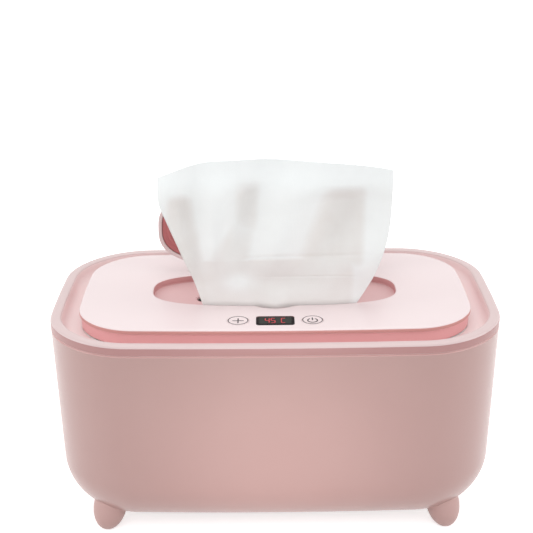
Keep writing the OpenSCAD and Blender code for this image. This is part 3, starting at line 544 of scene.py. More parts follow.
FINISHES = {
    # satin ABS of the tub: dusty pink, a soft window of light in it
    "shell_abs": moulded("dusty_pink_abs", "#B5918C", "#B18C87", 0.36, 0.9, 0.02, coat=0.4),
    # the chamfer along the tub's upper edge is a paler copy of the tub's pink: a painted highlight
    # where the edge catches the light
    "shell_edge_painted_highlight": moulded("shell_edge_painted_highlight", "#D4AAA7", "#CFA6A3", 0.36, 0.9, 0.02),
    # paler ABS of the rim and the flip cap
    "rim_abs": moulded("pale_pink_abs", "#DAC4C3", "#D6BFBE", 0.34, 0.9, 0.02, coat=0.12),
    # the rim's upright outer side gets a deeper rose than its top: painted shade on the faces that
    # turn away from the light above
    "rim_side_painted_shade": moulded("rose_pink_painted_shade", "#B28482", "#AE7F7D", 0.38, 0.9, 0.02, coat=0.1),
    # so are the plate's upright outer edges, a deeper pink of painted shade
    "plate_edge_painted_shade": moulded("plate_edge_painted_shade", "#D29893", "#CD938E", 0.42, 0.9, 0.015),
    # the wall inside the rim is painted paler than the rim's top, painted light against the shade
    # that falls in the cove; the lid's plate is paler than the rim's top too
    "rim_wall_painted_light": moulded("rim_wall_painted_light", "#F4E3E2", "#F1DFDE", 0.5, 0.9, 0.015),
    "plate_abs": moulded("blush_abs", "#EEDFDF", "#EBDBDC", 0.38, 0.9, 0.015, coat=0.1),
    # the wall round the recess gets a deeper rose: painted shade on a wall that faces away from the
    # light
    "recess_wall_painted_shade": moulded("recess_wall_painted_shade", "#D09999", "#CA9393", 0.48, 0.9, 0.015),
    # the lid's frame shows as a salmon band under the plate
    "skirt_abs": moulded("salmon_abs", "#E7ABAC", "#E3A7A8", 0.45, 0.9, 0.02),
    # floor of the recess, duller because fingers and wipes rub it
    "insert_abs": moulded("recess_abs", "#DFBABA", "#DAB5B5", 0.5, 0.8, 0.02),
    "foot_abs": moulded("peg_foot_abs", "#C8A49F", "#C39F9A", 0.4, 0.9, 0.02),
    # silicone is soft and dull, with a faint bloom
    "rose_silicone": moulded("rose_silicone", "#B96C6D", "#B26667", 0.58, 1.2, 0.03, 1.41,
                             sheen=0.15),
    # the lid's seal is a dark rose, whatever its slot's name says
    "grey_rubber": moulded("rose_rubber_seal", "#8A5E5C", "#825755", 0.75, 0.7, 0.05, 1.52),
    "pad_rubber": moulded("rose_rubber_pad", "#C29F9A", "#BC9994", 0.7, 0.7, 0.05, 1.52),
    # polypropylene has a waxy, slightly milky skin
    "white_pp": moulded("milky_polypropylene", "#F0EFEC", "#EAE9E6", 0.48, 1.1, 0.02, 1.49),
    "cord_pvc": moulded("white_pvc", "#E9E9EE", "#E3E3E9", 0.42, 0.8, 0.02, 1.54, coat=0.1),
    "black_plastic": moulded("black_nylon", "#2B2B2D", "#343436", 0.5, 0.6, 0.03),
    "ceramic": moulded("glazed_ceramic", "#E7E2D2", "#DDD8C6", 0.22, 1.4, 0.01, 1.6, coat=0.4),
    "red_wire": moulded("red_silicone_wire", "#C33A32", "#BB342C", 0.5, 0.5, 0.01, 1.41),
    "tie_wire": moulded("grey_pvc_tie", "#4A4A4C", "#525254", 0.55, 0.5, 0.02, 1.54),
    "core_wire": moulded("pvc_core_wire", "#6A5A50", "#625248", 0.5, 0.5, 0.01, 1.54),
    # the display's tinted window and its grey field, and the print on the keys
    "smoked_window": moulded("smoked_acrylic", "#161214", "#1C1719", 0.3, 2.0, 0.004, 1.49,
                             gloss=0.05),
    "field": moulded("grey_display_field", "#373A36", "#3B3E3A", 0.45, 0.9, 0.002, 1.49,
                     gloss=0.05),
    "ink": moulded("grey_pad_printing_ink", "#3D3539", "#443C40", 0.55, 0.6, 0.003),
}
print("plastics", len(FINISHES))

# %% [markdown]
# ## Finishes of the metals
# The screws and pins are zinc plated, the heat spreader is rolled aluminium, and the
# plug's blades are nickel over brass. Each keeps the default IOR, is fully metallic,
# and gets its character from fine lines along the way it was rolled or drawn.

# %% Metals


def drawn_metal(name, colour, cloud, rough, along, line_mm, depth_mm):
    """A metal with lines along one direction: noise squeezed across it, so that each
    line is line_mm wide and thirty times as long."""
    material, tree = new_material(name)
    where = add(tree, "TexCoord").outputs["Object"]
    stretch = [1000 / line_mm] * 3
    stretch[along] /= 30
    lines = add(tree, "Mapping", {"Vector": where, "Scale": stretch})
    drawn = add(tree, "TexNoise", {"Vector": lines, "Scale": 1.0, "Detail": 3.0})
    stain = add(tree, "TexNoise", {"Vector": where, "Scale": 160.0, "Detail": 4.0})
    polish = add(tree, "MapRange", {"Value": drawn, "From Min": 0.3, "From Max": 0.7,
                                    "To Min": rough - 0.06, "To Max": rough + 0.08})
    end_material(tree, stain, (colour, cloud), (drawn, 0.4, depth_mm),
                 {"Metallic": 1.0, "Roughness": polish})
    return material


for slot, *numbers in (
        ("zinc_steel", "zinc_plated_steel", "#C4C6C8", "#B4B8BC", 0.3, 2, 0.3, 0.005),
        ("aluminium", "rolled_aluminium", "#C9CAC8", "#BBBCBA", 0.35, 0, 0.4, 0.01),
        ("nickel_blade", "nickel_plated_brass", "#B5B3A6", "#A3A093", 0.24, 0, 0.25, 0.006)):
    FINISHES[slot] = drawn_metal(*numbers)

# %% [markdown]
# ## Finishes inside the housing
# Foam, heating film and circuit board are only seen when somebody takes the tub
# apart, and each still has what tells it from a plastic: open cells, printed lines of
# heating track, and a solder mask over copper.

# %% Foam, film and board
FINISHES["foam"], tree = new_material("open_cell_foam")
where = add(tree, "TexCoord").outputs["Object"]
cells = add(tree, "TexVoronoi", {"Vector": where, "Scale": 900.0})
end_material(tree, cells, ("#BDB9AF", "#E6E3DB"), (cells, 0.7, 0.4), {"Roughness": 0.95})

FINISHES["heater_film"], tree = new_material("amber_heating_film")
where = add(tree, "TexCoord").outputs["Object"]
TRACK_MM = 4.0  # one track and one gap of the printed heater
track = add(tree, "TexWave", {"Vector": where, "Scale": 2 * np.pi / 20 / (TRACK_MM * MM)},
            bands_direction="Y").outputs["Fac"]
edge = add(tree, "Math", {0: track, 1: 0.55}, operation="GREATER_THAN")
end_material(tree, edge, ("#B8702E", "#6E5A48"), (edge, 0.4, 0.1), {"Roughness": 0.3, "IOR": 1.7})

FINISHES["circuit_board"], tree = new_material("green_solder_mask")
where = add(tree, "TexCoord").outputs["Object"]
copper = add(tree, "TexBrick", {"Vector": where, "Scale": 120.0, "Mortar Size": 0.012,
                                "Color1": linear("#2F6B45"), "Color2": linear("#2A6340"),
                                "Mortar": linear("#3F8256")})
fibre = add(tree, "TexNoise", {"Vector": where, "Scale": 1500.0, "Detail": 2.0})
bump = add(tree, "Bump", {"Height": fibre, "Strength": 0.3, "Distance": 0.00005})
shader = add(tree, "BsdfPrincipled", {"Base Color": copper, "Roughness": 0.32, "IOR": 1.55,
                                      "Coat Weight": 0.3, "Normal": bump})
add(tree, "OutputMaterial", {"Surface": shader})

# %% [markdown]
# ## The wipe's cloth
# The wipe is a nonwoven of viscose and polyester fibres, pressed with a small dot
# pattern. Its material reads the cloth's own map in metres, so dots stay on the cloth
# where it folds. A number stored in the mesh says where the material paints shade on
# the sheet, as a greyer, warmer white: in its hollows, over its lower part and on the tail.

# %% Nonwoven
DOT_MM = 1.9  # spacing of the pressed dots; the real 1.5 mm would not show
FINISHES["wipe_cloth"], tree = new_material("pressed_nonwoven")
cloth = add(tree, "UVMap", uv_map="cloth")
where = add(tree, "TexCoord").outputs["Object"]
dots = add(tree, "TexVoronoi", {"Vector": cloth, "Scale": 1000 / DOT_MM, "Randomness": 0.25},
           voronoi_dimensions="2D")
pressed = add(tree, "MapRange", {"Value": dots, "From Min": 0.15, "From Max": 0.4},
              interpolation_type="SMOOTHSTEP")
# the press leaves dots in patches only, where the fibres were thick enough
patch = add(tree, "TexNoise", {"Vector": where, "Scale": 42.0, "Detail": 2.0})
firm = add(tree, "MapRange", {"Value": patch, "From Min": 0.5, "From Max": 0.72,
                              "To Min": 0.12, "To Max": 0.8})
stamped = add(tree, "Math", {0: pressed, 1: firm}, operation="MULTIPLY")
squeeze = add(tree, "Mapping", {"Vector": cloth, "Scale": (1600.0, 380.0, 1.0)})
fibres = add(tree, "TexNoise", {"Vector": squeeze, "Scale": 1.0, "Detail": 4.0, "Roughness": 0.7})
height = add(tree, "Math", {0: fibres, 1: stamped}, operation="ADD")
thick = add(tree, "TexNoise", {"Vector": where, "Scale": 90.0, "Detail": 3.0})
cloth_white = add(tree, "Mix", {"Factor": thick, "A": linear("#EFF2F2"), "B": linear("#F5F8F8")},
          data_type="RGBA")
# painted shade: where the mesh's number says, the cloth's white turns greyer and warmer
thin = add(tree, "Attribute", attribute_name="thin").outputs["Fac"]
uneven = add(tree, "MapRange", {"Value": thick, "From Min": 0.3, "From Max": 0.7,
                                "To Min": 1.08, "To Max": 0.88})
wipe_shade = add(tree, "Math", {0: thin, 1: uneven}, operation="MULTIPLY")
tint = add(tree, "Mix", {"Factor": wipe_shade, "A": cloth_white, "B": linear("#E0DAD6")}, data_type="RGBA")
bump = add(tree, "Bump", {"Height": height, "Strength": 0.3, "Distance": 0.00012})
shader = add(tree, "BsdfPrincipled", {
    "Base Color": tint, "Roughness": 0.9, "IOR": 1.47, "Sheen Weight": 0.15,
    "Sheen Roughness": 0.5, "Normal": bump})
add(tree, "OutputMaterial", {"Surface": shader})

SLOTS = set()
for row in frame["record"]["subparts"]:
    SLOTS.add(row["material_slot"])
    nodes[row["node"]].data.materials.clear()
    nodes[row["node"]].data.materials.append(FINISHES[row["material_slot"]])
print("finishes", len(FINISHES))

# %% [markdown]
# ## Mains cord
# A light two-core lead, 6 mm thick. It leaves the tub at the rear left through a
# ribbed gland, falls to the table, and its spare length is wound up behind the tub
# as for storage: two layers of a flat spiral with a tie round them. The plug lies
# beside the coil. The route is the one that the solids follow, drawn more finely: a
# smooth curve through the lead's points, and the coil from its own formula.

# %% Route of the cord, in mm
CORD_D = 6
GLAND_X, GLAND_Z, GLAND_END_Y = -60, 38, 95
COIL_X, COIL_Y, COIL_R, COIL_TURNS = 45, 123, 35, 2.5
COIL_PITCH = CORD_D + 0.7
COIL_LOW_Z = CORD_D / 2 + 0.9
COIL_TOTAL = 2 * COIL_TURNS + 0.5
COIL_IN_R = COIL_R - COIL_TOTAL * COIL_PITCH / 4
COIL_OUT_R = COIL_R + COIL_TOTAL * COIL_PITCH / 4
PLUG_Y, PLUG_Z = COIL_Y - COIL_OUT_R, 7.6


def smooth(t):
    """Eases from 0 to 1 as 3t^2 - 2t^3."""
    t = np.clip(t, 0, 1)
    return t * t * (3 - 2 * t)


def coil_point(t):
    """Point of the coil after t turns: a spiral whose radius falls and then grows again
    by one pitch a turn, and that climbs a layer in the half turn where it reverses."""
    a = np.pi / 2 - 2 * np.pi * t
    r = COIL_IN_R + COIL_PITCH * np.abs(t - COIL_TOTAL / 2)
    z = COIL_LOW_Z + COIL_PITCH * smooth(2 * (t - COIL_TURNS))
    return np.stack([COIL_X + r * np.cos(a), COIL_Y + r * np.sin(a), z], -1)


def through(points, count):
    """Catmull-Rom curve through points: each span is the cubic whose end slopes are
    half the way from the point before to the point after."""
    p = np.array(points, float)
    p = np.vstack([2 * p[0] - p[1], p, 2 * p[-1] - p[-2]])
    s = np.linspace(0, len(p) - 3 - 1e-9, count)
    i, t = s.astype(int), (s % 1)[:, None]
    a, b, c, d = p[i], p[i + 1], p[i + 2], p[i + 3]
    return b + 0.5 * t * (c - a + t * (2 * a - 5 * b + 4 * c - d + t * (3 * (b - c) + d - a)))


far_y = COIL_Y + COIL_OUT_R
lead_route = [
    [GLAND_X, GLAND_END_Y - 4, GLAND_Z], [GLAND_X, 101, 38], [GLAND_X, 107, 37.3],
    [GLAND_X, 113, 35], [-60, 119, 30.8], [-60, 125, 25], [-59.6, 131, 18.8], [-58, 137.6, 12.2],
    [-55.6, 143.2, 7.6], [-52.4, 148.4, 4.8], [-48, 153.6, 3.2], [-42, 158.6, 3.1],
    [-35, 162.4, 3.1], [-27, 165, 3.1], [-18, 166.2, 3.1], [-4, far_y, 3.1], [10, far_y, 3.4],
    [22, far_y, COIL_LOW_Z - 0.1], [COIL_X - 12, far_y, COIL_LOW_Z],
    [COIL_X - CORD_D, far_y, COIL_LOW_Z]]
tail_route = [
    [COIL_X - CORD_D, PLUG_Y, COIL_LOW_Z + COIL_PITCH],
    [COIL_X - 2 * CORD_D, PLUG_Y, COIL_LOW_Z + COIL_PITCH], [24, PLUG_Y, 9.9], [15, PLUG_Y, 8.6],
    [5, PLUG_Y, PLUG_Z], [-3, PLUG_Y, PLUG_Z]]
COIL_STEPS = 48
turns = np.linspace(0, COIL_TOTAL, round(COIL_TOTAL * COIL_STEPS) + 1)
route = np.concatenate([through(lead_route, 120), coil_point(turns), through(tail_route, 30)])

# %% [markdown]
# The tube needs a frame that doesn't twist. The cord never runs straight up or down,
# so the level direction across it is always there to measure from.

# %% Tube along the route, with its gland, tie, plug body and blades


def tube(path, radius, sides=16):
    """Circle of a radius carried along a path: p + r (cos a s + sin a u), where s is
    level and across the path, and u is across both."""
    along = np.gradient(path, axis=0)
    along /= np.linalg.norm(along, axis=1)[:, None]
    level = np.cross(along, [0, 0, 1])
    level /= np.linalg.norm(level, axis=1)[:, None]
    rise = np.cross(level, along)
    a = np.linspace(0, 2 * np.pi, sides, endpoint=False)[None, :, None]
    return loft(path[:, None] + radius * (np.cos(a) * level[:, None] + np.sin(a) * rise[:, None]))


cord = make_piece("mains_cord", [tube(route, CORD_D / 2)], "base", "cord_pvc",
                  ["cord_lead", "cord_coil", "cord_tail"], sharp=60)

# %% [markdown]
# The plug is one moulding: a flat flange behind the blades, a body that narrows to a
# waist for the fingers and flares again, then a ringed strain relief. Its section is
# a squarer ellipse all the way, whose half width and half height change along it.

# %% Plug body
PLUG_FACE_X = -42
PLUG_POWER = 4.5
# distance from the face, half width, half height
plug_stations = np.array([
    [0.0, 11.4, 6.9], [0.5, 12.0, 7.5], [2.2, 12.0, 7.5], [2.8, 11.4, 7.1], [3.2, 10.5, 6.8],
    [7.0, 9.7, 6.6], [11.0, 9.1, 6.4], [14.0, 8.8, 6.2], [17.0, 9.1, 5.9], [19.0, 10.1, 5.6],
    [21.0, 11.5, 5.3], [22.6, 11.9, 5.3], [24.2, 11.2, 5.5], [25.6, 9.2, 5.5], [27.0, 6.4, 5.2]])
fine = through(plug_stations, 90)
fine[:2] = plug_stations[0]
angle = np.linspace(0, 2 * np.pi, 72, endpoint=False)
wide, high = (np.sign(f) * np.abs(f) ** (2 / PLUG_POWER) for f in (np.cos(angle), np.sin(angle)))
plug_rings = np.stack([
    np.broadcast_to(PLUG_FACE_X + fine[:, :1], (len(fine), len(angle))),
    PLUG_Y + fine[:, 1:2] * wide, PLUG_Z + fine[:, 2:3] * high], -1)
relief = [[4.6, -16.2], [5.0, -15.8], [5.0, -12.6], [4.9, -12.1], [4.6, -12.0], [5.0, -11.6],
          [5.0, -9.6], [4.6, -9.1], [3.9, -8.9], [3.9, -8.2], [4.5, -7.9], [4.8, -7.4], [4.8, -5.6],
          [4.4, -5.1], [3.8, -4.9], [3.8, -4.0], [3.6, -1.0], [3.4, 0.0], [2.9, 0.1]]
plug = make_piece("plug_moulding", [loft(plug_rings), lathe(relief, (-1, PLUG_Y, PLUG_Z), "x")],
                  "base", "cord_pvc", ["plug_body"])

# %% [markdown]
# ## Tub
# A one-piece shell whose sides draw in a little towards the bottom, as they must to
# leave the mould, and roll under in a large radius. The section is one closed line of
# [inset, height]: up the outside, over the top edge, down the inside and round the
# opening for the bottom cover.

# %% Shell
BODY_Z, SHELL_TOP_Z = 7, 109
BOTTOM_R, SIDE_DRAFT, WALL, CHAMFER = 29, 3.3, 2.4, 0.7
COVER_W, COVER_D, COVER_R, COVER_LIP, REBATE = 152, 62, 12, 4, 1.4


def rolled_side(gap, radius, low, top, steps=28, rows=12):
    """[inset, height] up a side: a quarter turn of a radius at the bottom, then straight
    up, with the mould's draft growing evenly from the rim down."""
    a = np.linspace(0, np.pi / 2, steps)
    z = np.concatenate([low + radius * (1 - np.cos(a)), np.linspace(low + radius, top, rows)[1:]])
    turned = np.concatenate([radius * (1 - np.sin(a)), np.zeros(rows - 1)])
    draft = SIDE_DRAFT * (RIM_Z - z) / (RIM_Z - BODY_Z)
    return np.stack([draft + gap + turned, z], 1).tolist()


outside = rolled_side(0, BOTTOM_R, BODY_Z, SHELL_TOP_Z - CHAMFER)
inside = rolled_side(WALL, BOTTOM_R - WALL, BODY_Z + WALL, SHELL_TOP_Z - 0.4)
top_in = outside[-1][0]
edge = about(top_in, SHELL_TOP_Z, (0.12, -0.55), (CHAMFER, 0), (WALL - 0.4, 0), (WALL - 0.1, -0.1))
through_hole = outline(COVER_W - 2 * COVER_LIP, COVER_D - 2 * COVER_LIP, COVER_R - COVER_LIP)
section = (rings_of(body_outline, outside + edge + inside[::-1])
           + at_heights(through_hole, BODY_Z + WALL, BODY_Z + REBATE)
           + at_heights(outline(COVER_W, COVER_D, COVER_R), BODY_Z + REBATE, BODY_Z))
SEAT_Y, SEAT_R, NECK_R = 67, 9, 5.45
seat = about(0, SEAT_Y, (NECK_R, -5.5), (SEAT_R, -5.5), (SEAT_R, -0.5), (SEAT_R - 0.15, -0.15),
             (SEAT_R - 0.5, 0), (NECK_R, 0))
gland_seat = lathe(seat, (GLAND_X, 0, GLAND_Z), "y", closed=True)
shell = make_piece("tub_shell", [loft(section, closed=True), gland_seat], "base", "shell_abs",
                   ["outer_shell"])
# painted highlight: the faces of the tub's top chamfer get the paler pink
paint_light_and_shade(shell, "shell_edge_painted_highlight", True, SHELL_TOP_Z - CHAMFER + 0.01, RIM_Z)

# %% [markdown]
# ## Rim ring
# The paler ring carries the lid. It stands a hair off the tub, whose chamfer draws the
# fine parting line between them with a pale painted highlight. Its top is a narrow land
# with rounded edges, and inside it a cove falls to the ledge where the lid's gasket rests.
# Its upright outer side is painted a deeper rose as shade, and the cove's wall a paler pink
# as painted light against the cove's shade. Lugs for the lid's two hinge pins stand on the
# ledge at the back, as a piece of their own.

# %% Rim ring with its hinge lugs
LEDGE_Z = RIM_Z - 7
HINGE_X, HINGE_Y, HINGE_Z, KNUCKLE_R = 50, 55.5, 110.5, 2.6
KNUCKLE_L, LUG_L, LUG_GAP = 12, 5, 0.3
section = (
    about(0, SHELL_TOP_Z, (0.4, 0.1), (0.15, 0.35))
    + quarter([0.05, RIM_Z - 1.6], [1.65, RIM_Z], 9, False) + [[2.2, RIM_Z], [4.0, RIM_Z]]
    + quarter([4.5, RIM_Z], [5.7, RIM_Z - 1.2], 8, True)
    + quarter([6.1, LEDGE_Z + 4.8], [11.4, LEDGE_Z], 12, False)
    + about(0, LEDGE_Z, (12, 0), (16, 0), (16, -1.6), (19, -1.6), (19, -3.2), (5, -3.2), (5, -7),
            (2.95, -7))
    + [[2.95, SHELL_TOP_Z + 0.1]])
lug = (arc((HINGE_Y, HINGE_Z), KNUCKLE_R, 180, 0)
       + about(HINGE_Y, LEDGE_Z - 1, (KNUCKLE_R, 0), (-KNUCKLE_R, 0)))
lugs = beside(lug, HINGE_X, KNUCKLE_L / 2 + LUG_GAP, LUG_L)
rim = make_piece("rim_ring_smooth", [loft(rings_of(body_outline, section), closed=True)], "base",
                 "rim_abs", ["rim_ring"])
make_piece("lid_hinge_lugs", lugs, "base", "rim_abs")
# painted shade: the rim's upright outer faces get the deeper rose
paint_light_and_shade(rim, "rim_side_painted_shade", True, SHELL_TOP_Z, RIM_Z - 0.4, SIDE_UP)
# painted light: the wall inside the rim is made paler to cancel the shade in its cove
paint_light_and_shade(rim, "rim_wall_painted_light", False, LEDGE_Z - 0.1, RIM_Z - 0.8)

# %% [markdown]
# ## Tank
# The white polypropylene liner hangs by its flange on the ring's rebate. It shows
# when the lid is open, so it gets the body's own corners instead of facets.

# %% Tank liner
TANK_Z, TANK_T, LINER_R = 32, 2, 10


def tank_side(gap, radius, low, top, steps=12, rows=8):
    """[inset, height] of the liner: a rolled bottom edge, then straight sides that lean."""
    a = np.linspace(0, np.pi / 2, steps)
    bottom = np.stack([gap + SIDE_DRAFT + radius * (1 - np.sin(a)),
                       low + radius * (1 - np.cos(a))], 1)
    share = np.linspace(0, 1, rows)[1:, None]
    return np.vstack([bottom, bottom[-1] + (np.array([gap, top]) - bottom[-1]) * share]).tolist()


flange = about(0, LEDGE_Z, (16.2, -1.6), (16.2, -0.3), (16.5, 0), (20.6, 0))
section = (tank_side(19.3, LINER_R, TANK_Z, LEDGE_Z - 1.6) + flange
           + tank_side(21.3, LINER_R - TANK_T, TANK_Z + TANK_T, LEDGE_Z - 0.6)[::-1])
make_piece("tank_liner_smooth", [loft(rings_of(body_outline, section))], "base", "white_pp",
           ["tank_liner"])

# %% [markdown]
# ## Feet
# Four pegs with egg-shaped ends, splayed outwards. Each is turned as an ellipse's
# quarter, tipped, cut flat where its rubber pad sits, and trimmed by the tub's own
# outside so that it meets the curved bottom without a gap. The pad carries the egg's
# curve on to the table, so that peg and pad read as one.

# %% Feet
FOOT_X, FOOT_Y, FOOT_R, FOOT_H, FOOT_SPLAY, FOOT_FLAT_Z = 90.1, 48, 8.7, 13.5, 12, 0.8
FOOT_SINK = 0.3  # how much of the egg's tip is missing, so that the pad has a flat face
t = np.linspace(0, 1, 40)[1:] ** 1.6
foot_profile = [[AXIS_R, 0]]
foot_profile += np.stack([FOOT_R * np.sqrt(1 - (1 - t) ** 2), FOOT_H * t], 1).tolist()
foot_profile += [[FOOT_R, FOOT_H + h] for h in (2, 4, 6, 9, 12)]
pad_z = np.linspace(0, FOOT_FLAT_Z, 8)
pad_r = FOOT_R * np.sqrt(1 - (1 - (pad_z + FOOT_SINK) / FOOT_H) ** 2)
pad_profile = [[AXIS_R, 0]] + np.stack([pad_r, pad_z], 1).tolist() + [[AXIS_R, FOOT_FLAT_Z]]
# tipping moves the egg's lowest point inwards, by the tip's radius times the sine
tip_shift = FOOT_R**2 / FOOT_H * np.sin(np.radians(FOOT_SPLAY))
pads = []
tub_outside = loft(rings_of(body_outline, outside))
for name, side_x, side_y in (("foot_front_left", -1, -1), ("foot_front_right", 1, -1),
                             ("foot_back_left", -1, 1), ("foot_back_right", 1, 1)):
    points, faces = lathe(foot_profile, (0, 0, 0), steps=56)
    lean = (Matrix.Rotation(np.radians(-side_x * FOOT_SPLAY), 3, "Y")
            @ Matrix.Rotation(np.radians(side_y * FOOT_SPLAY), 3, "X"))
    points = points @ np.array(lean).T + [side_x * FOOT_X, side_y * FOOT_Y, -FOOT_SINK]
    points[:, 2] = np.maximum(points[:, 2], FOOT_FLAT_Z)
    foot = make_piece(name + "_peg", [(points, faces)], "base", "foot_abs", [name])
    cut_away(foot, [tub_outside])
    pad_place = (side_x * (FOOT_X - tip_shift), side_y * (FOOT_Y - tip_shift), 0)
    pads.append(lathe(pad_profile, pad_place))
make_piece("foot_pads_smooth", pads, "base", "pad_rubber", ["foot_pads"])

# %% [markdown]
# ## Lid plate
# The plate is a flat blush panel with softly rounded edges, inside and out. Its rings
# run from the outer edge over the top to the edge of the opening, all in the shared
# directions. The holes for the keys and the window, and the pockets for the cap's
# hinge, are cut out of it afterwards, as they are real holes that things move in.

# %% Lid plate
TOP_Z = RIM_Z + 2.2  # the lid's highest flat
PLATE_T = 2.4
PLATE_Z = TOP_Z - PLATE_T
KEY_X, KEY_Y, KEY_R, KEY_GAP = 18.5, -42.6, 5.4, 0.1
WINDOW_W, WINDOW_D, WINDOW_R = 19, 11, 1.6
CAP_HINGE_X, CAP_Y, CAP_Z = 28, 26, TOP_Z - 2
CAP_KNUCKLE_L, CAP_LUG_L = 7.4, 4.4
CAP_LUG_START = CAP_KNUCKLE_L / 2 + 0.6
CAP_POCKET = CAP_LUG_START + CAP_LUG_L + 0.3

outer_edge = (quarter([0.3, PLATE_Z], [0, PLATE_Z + 0.3], 4, True)
              + quarter([0, TOP_Z - 1.0], [1.0, TOP_Z], 9, False)
              + [[1.4, TOP_Z], [2.5, TOP_Z]])
# gaps round the opening: positive is further out, so the list walks in and down
inner_edge = ([[2.0, TOP_Z], [0.9, TOP_Z]]
              + quarter([0.6, TOP_Z], [0, TOP_Z - 0.6], 7, True) + [[0, PLATE_Z]])
rings = rings_of(plate_outline, outer_edge) + rings_of(opening, inner_edge)
plate = make_piece("lid_plate_smooth", [loft(rings, closed=True)], "lid", "plate_abs",
                   ["lid_plate"])


def box_shell(low, high):
    """A plain block between two corners, for cutting."""
    (x, y, z), (x_end, y_end, z_end) = low, high
    return loft(at_heights(np.array([[x, y], [x_end, y], [x_end, y_end], [x, y_end]]), z, z_end))


def round_box(width, depth, radius, centre, steps=10):
    """Plan outline of a rectangle with quarter-circle corners."""
    x, y = width / 2 - radius, depth / 2 - radius
    corners = [arc((sx * x, sy * y), radius, start, start + 90, steps)
               for sx, sy, start in ((1, 1, 0), (-1, 1, 90), (-1, -1, 180), (1, -1, 270))]
    return np.concatenate(corners) + np.array(centre)


CUT_LOW_Z, CUT_TOP_Z = PLATE_Z - 1, TOP_Z + 1  # the cuts stand out of both faces
window_hole = round_box(WINDOW_W + 0.2, WINDOW_D + 0.2, WINDOW_R, (0, KEY_Y))
holes = [loft(at_heights(window_hole, CUT_LOW_Z, CUT_TOP_Z))]
for s in (-1, 1):
    key_hole = [[KEY_R + KEY_GAP, CUT_LOW_Z], [KEY_R + KEY_GAP, CUT_TOP_Z]]
    holes.append(lathe(key_hole, (s * KEY_X, KEY_Y, 0), steps=72))
    holes.append(box_shell([s * CAP_HINGE_X - CAP_POCKET, OVAL_B - 6, CUT_LOW_Z],
                           [s * CAP_HINGE_X + CAP_POCKET, CAP_Y + 3.6, CUT_TOP_Z]))
cut_away(plate, holes)
# painted shade: the plate's upright outer edges get a deeper pink
paint_light_and_shade(plate, "plate_edge_painted_shade", True, 0, TOP_Z - 0.3, SIDE_UP)
# painted shade: the upright wall round the opening gets the deeper rose
paint_light_and_shade(plate, "recess_wall_painted_shade", False, 0, TOP_Z - 0.3, SIDE_UP)

# %% [markdown]
# ## Lid frame
# Under the plate, the salmon frame does the work: a skirt that shows as a band below
# the plate's edge, a flange that presses the gasket, a shallow tray that dips into
# the tank and a chute for the wipes. All of it is one wall of even thickness, so one
# closed section makes it. Its first and last rings follow the plate's plan, and those
# between them the oval.

# %% Frame, hinge knuckles and gasket
FRAME_Z, FRAME_T = LEDGE_Z + 1, 1.6
TRAY_Z = FRAME_Z - 5.5
RECESS_Z = TOP_Z - 4
INSERT_Z = RECESS_Z - 1.6
CHUTE_A, CHUTE_B, CHUTE_T = 67, 28, 1.4
skirt = (about(0, FRAME_Z, (1.4, -0.7), (1.0, -0.3)) + [[1.0, PLATE_Z], [3, PLATE_Z]]
         + about(0, FRAME_Z + FRAME_T, (3, 0), (10.5, 0), (11.1, -0.6))
         + about(0, TRAY_Z + FRAME_T, (11.1, 0.5), (11.6, 0)))
under = about(0, TRAY_Z, (11.0, 0), (10.0, 0.3), (9.5, 1.0)) + [[9.5, FRAME_Z]]
rings = (rings_of(plate_outline, skirt)
         + at_heights(oval(CHUTE_A, CHUTE_B), TRAY_Z + FRAME_T, INSERT_Z)
         + at_heights(oval(CHUTE_A - CHUTE_T, CHUTE_B - CHUTE_T), INSERT_Z, TRAY_Z)
         + rings_of(plate_outline, under))
knuckle = (arc((HINGE_Y, HINGE_Z), KNUCKLE_R, -90, 90)
           + about(HINGE_Y, HINGE_Z, (-2, 2.2), (-4.6, 1.8), (-4.6, -1.6), (-2, -2.2)))
knuckles = [bar(knuckle, s * HINGE_X, KNUCKLE_L) for s in (-1, 1)]
make_piece("lid_frame_smooth", [loft(rings, closed=True)] + knuckles, "lid", "skirt_abs",
           ["lid_frame"])

seal = ([[2.6, FRAME_Z], [2.6, FRAME_Z - 0.5]]
        + about(0, LEDGE_Z, (3.0, 0.15), (3.6, 0.1), (4.6, 0.1), (5.2, 0.15))
        + [[5.6, FRAME_Z - 0.5], [5.6, FRAME_Z]])
make_piece("lid_gasket_bead", [loft(rings_of(plate_outline, seal), closed=True)], "lid",
           "grey_rubber", ["lid_gasket"])

# %% [markdown]
# ## Recess and slot
# The insert is the sunken oval that the flip cap closes. Its floor falls four
# millimetres below the plate, meets the wall in a small fillet, and has the long slot
# with eased lips that lets one wipe through at a time.

# %% Slot insert
floor_edge = quarter([0.3, RECESS_Z + 0.9], [-0.6, RECESS_Z], 8, False)
lip = quarter([0.9, RECESS_Z], [0, RECESS_Z - 0.9], 8, True)


def slot(gap):
    """The slot's outline in the shared directions."""
    return around(slot_outline(gap), DIRECTIONS)


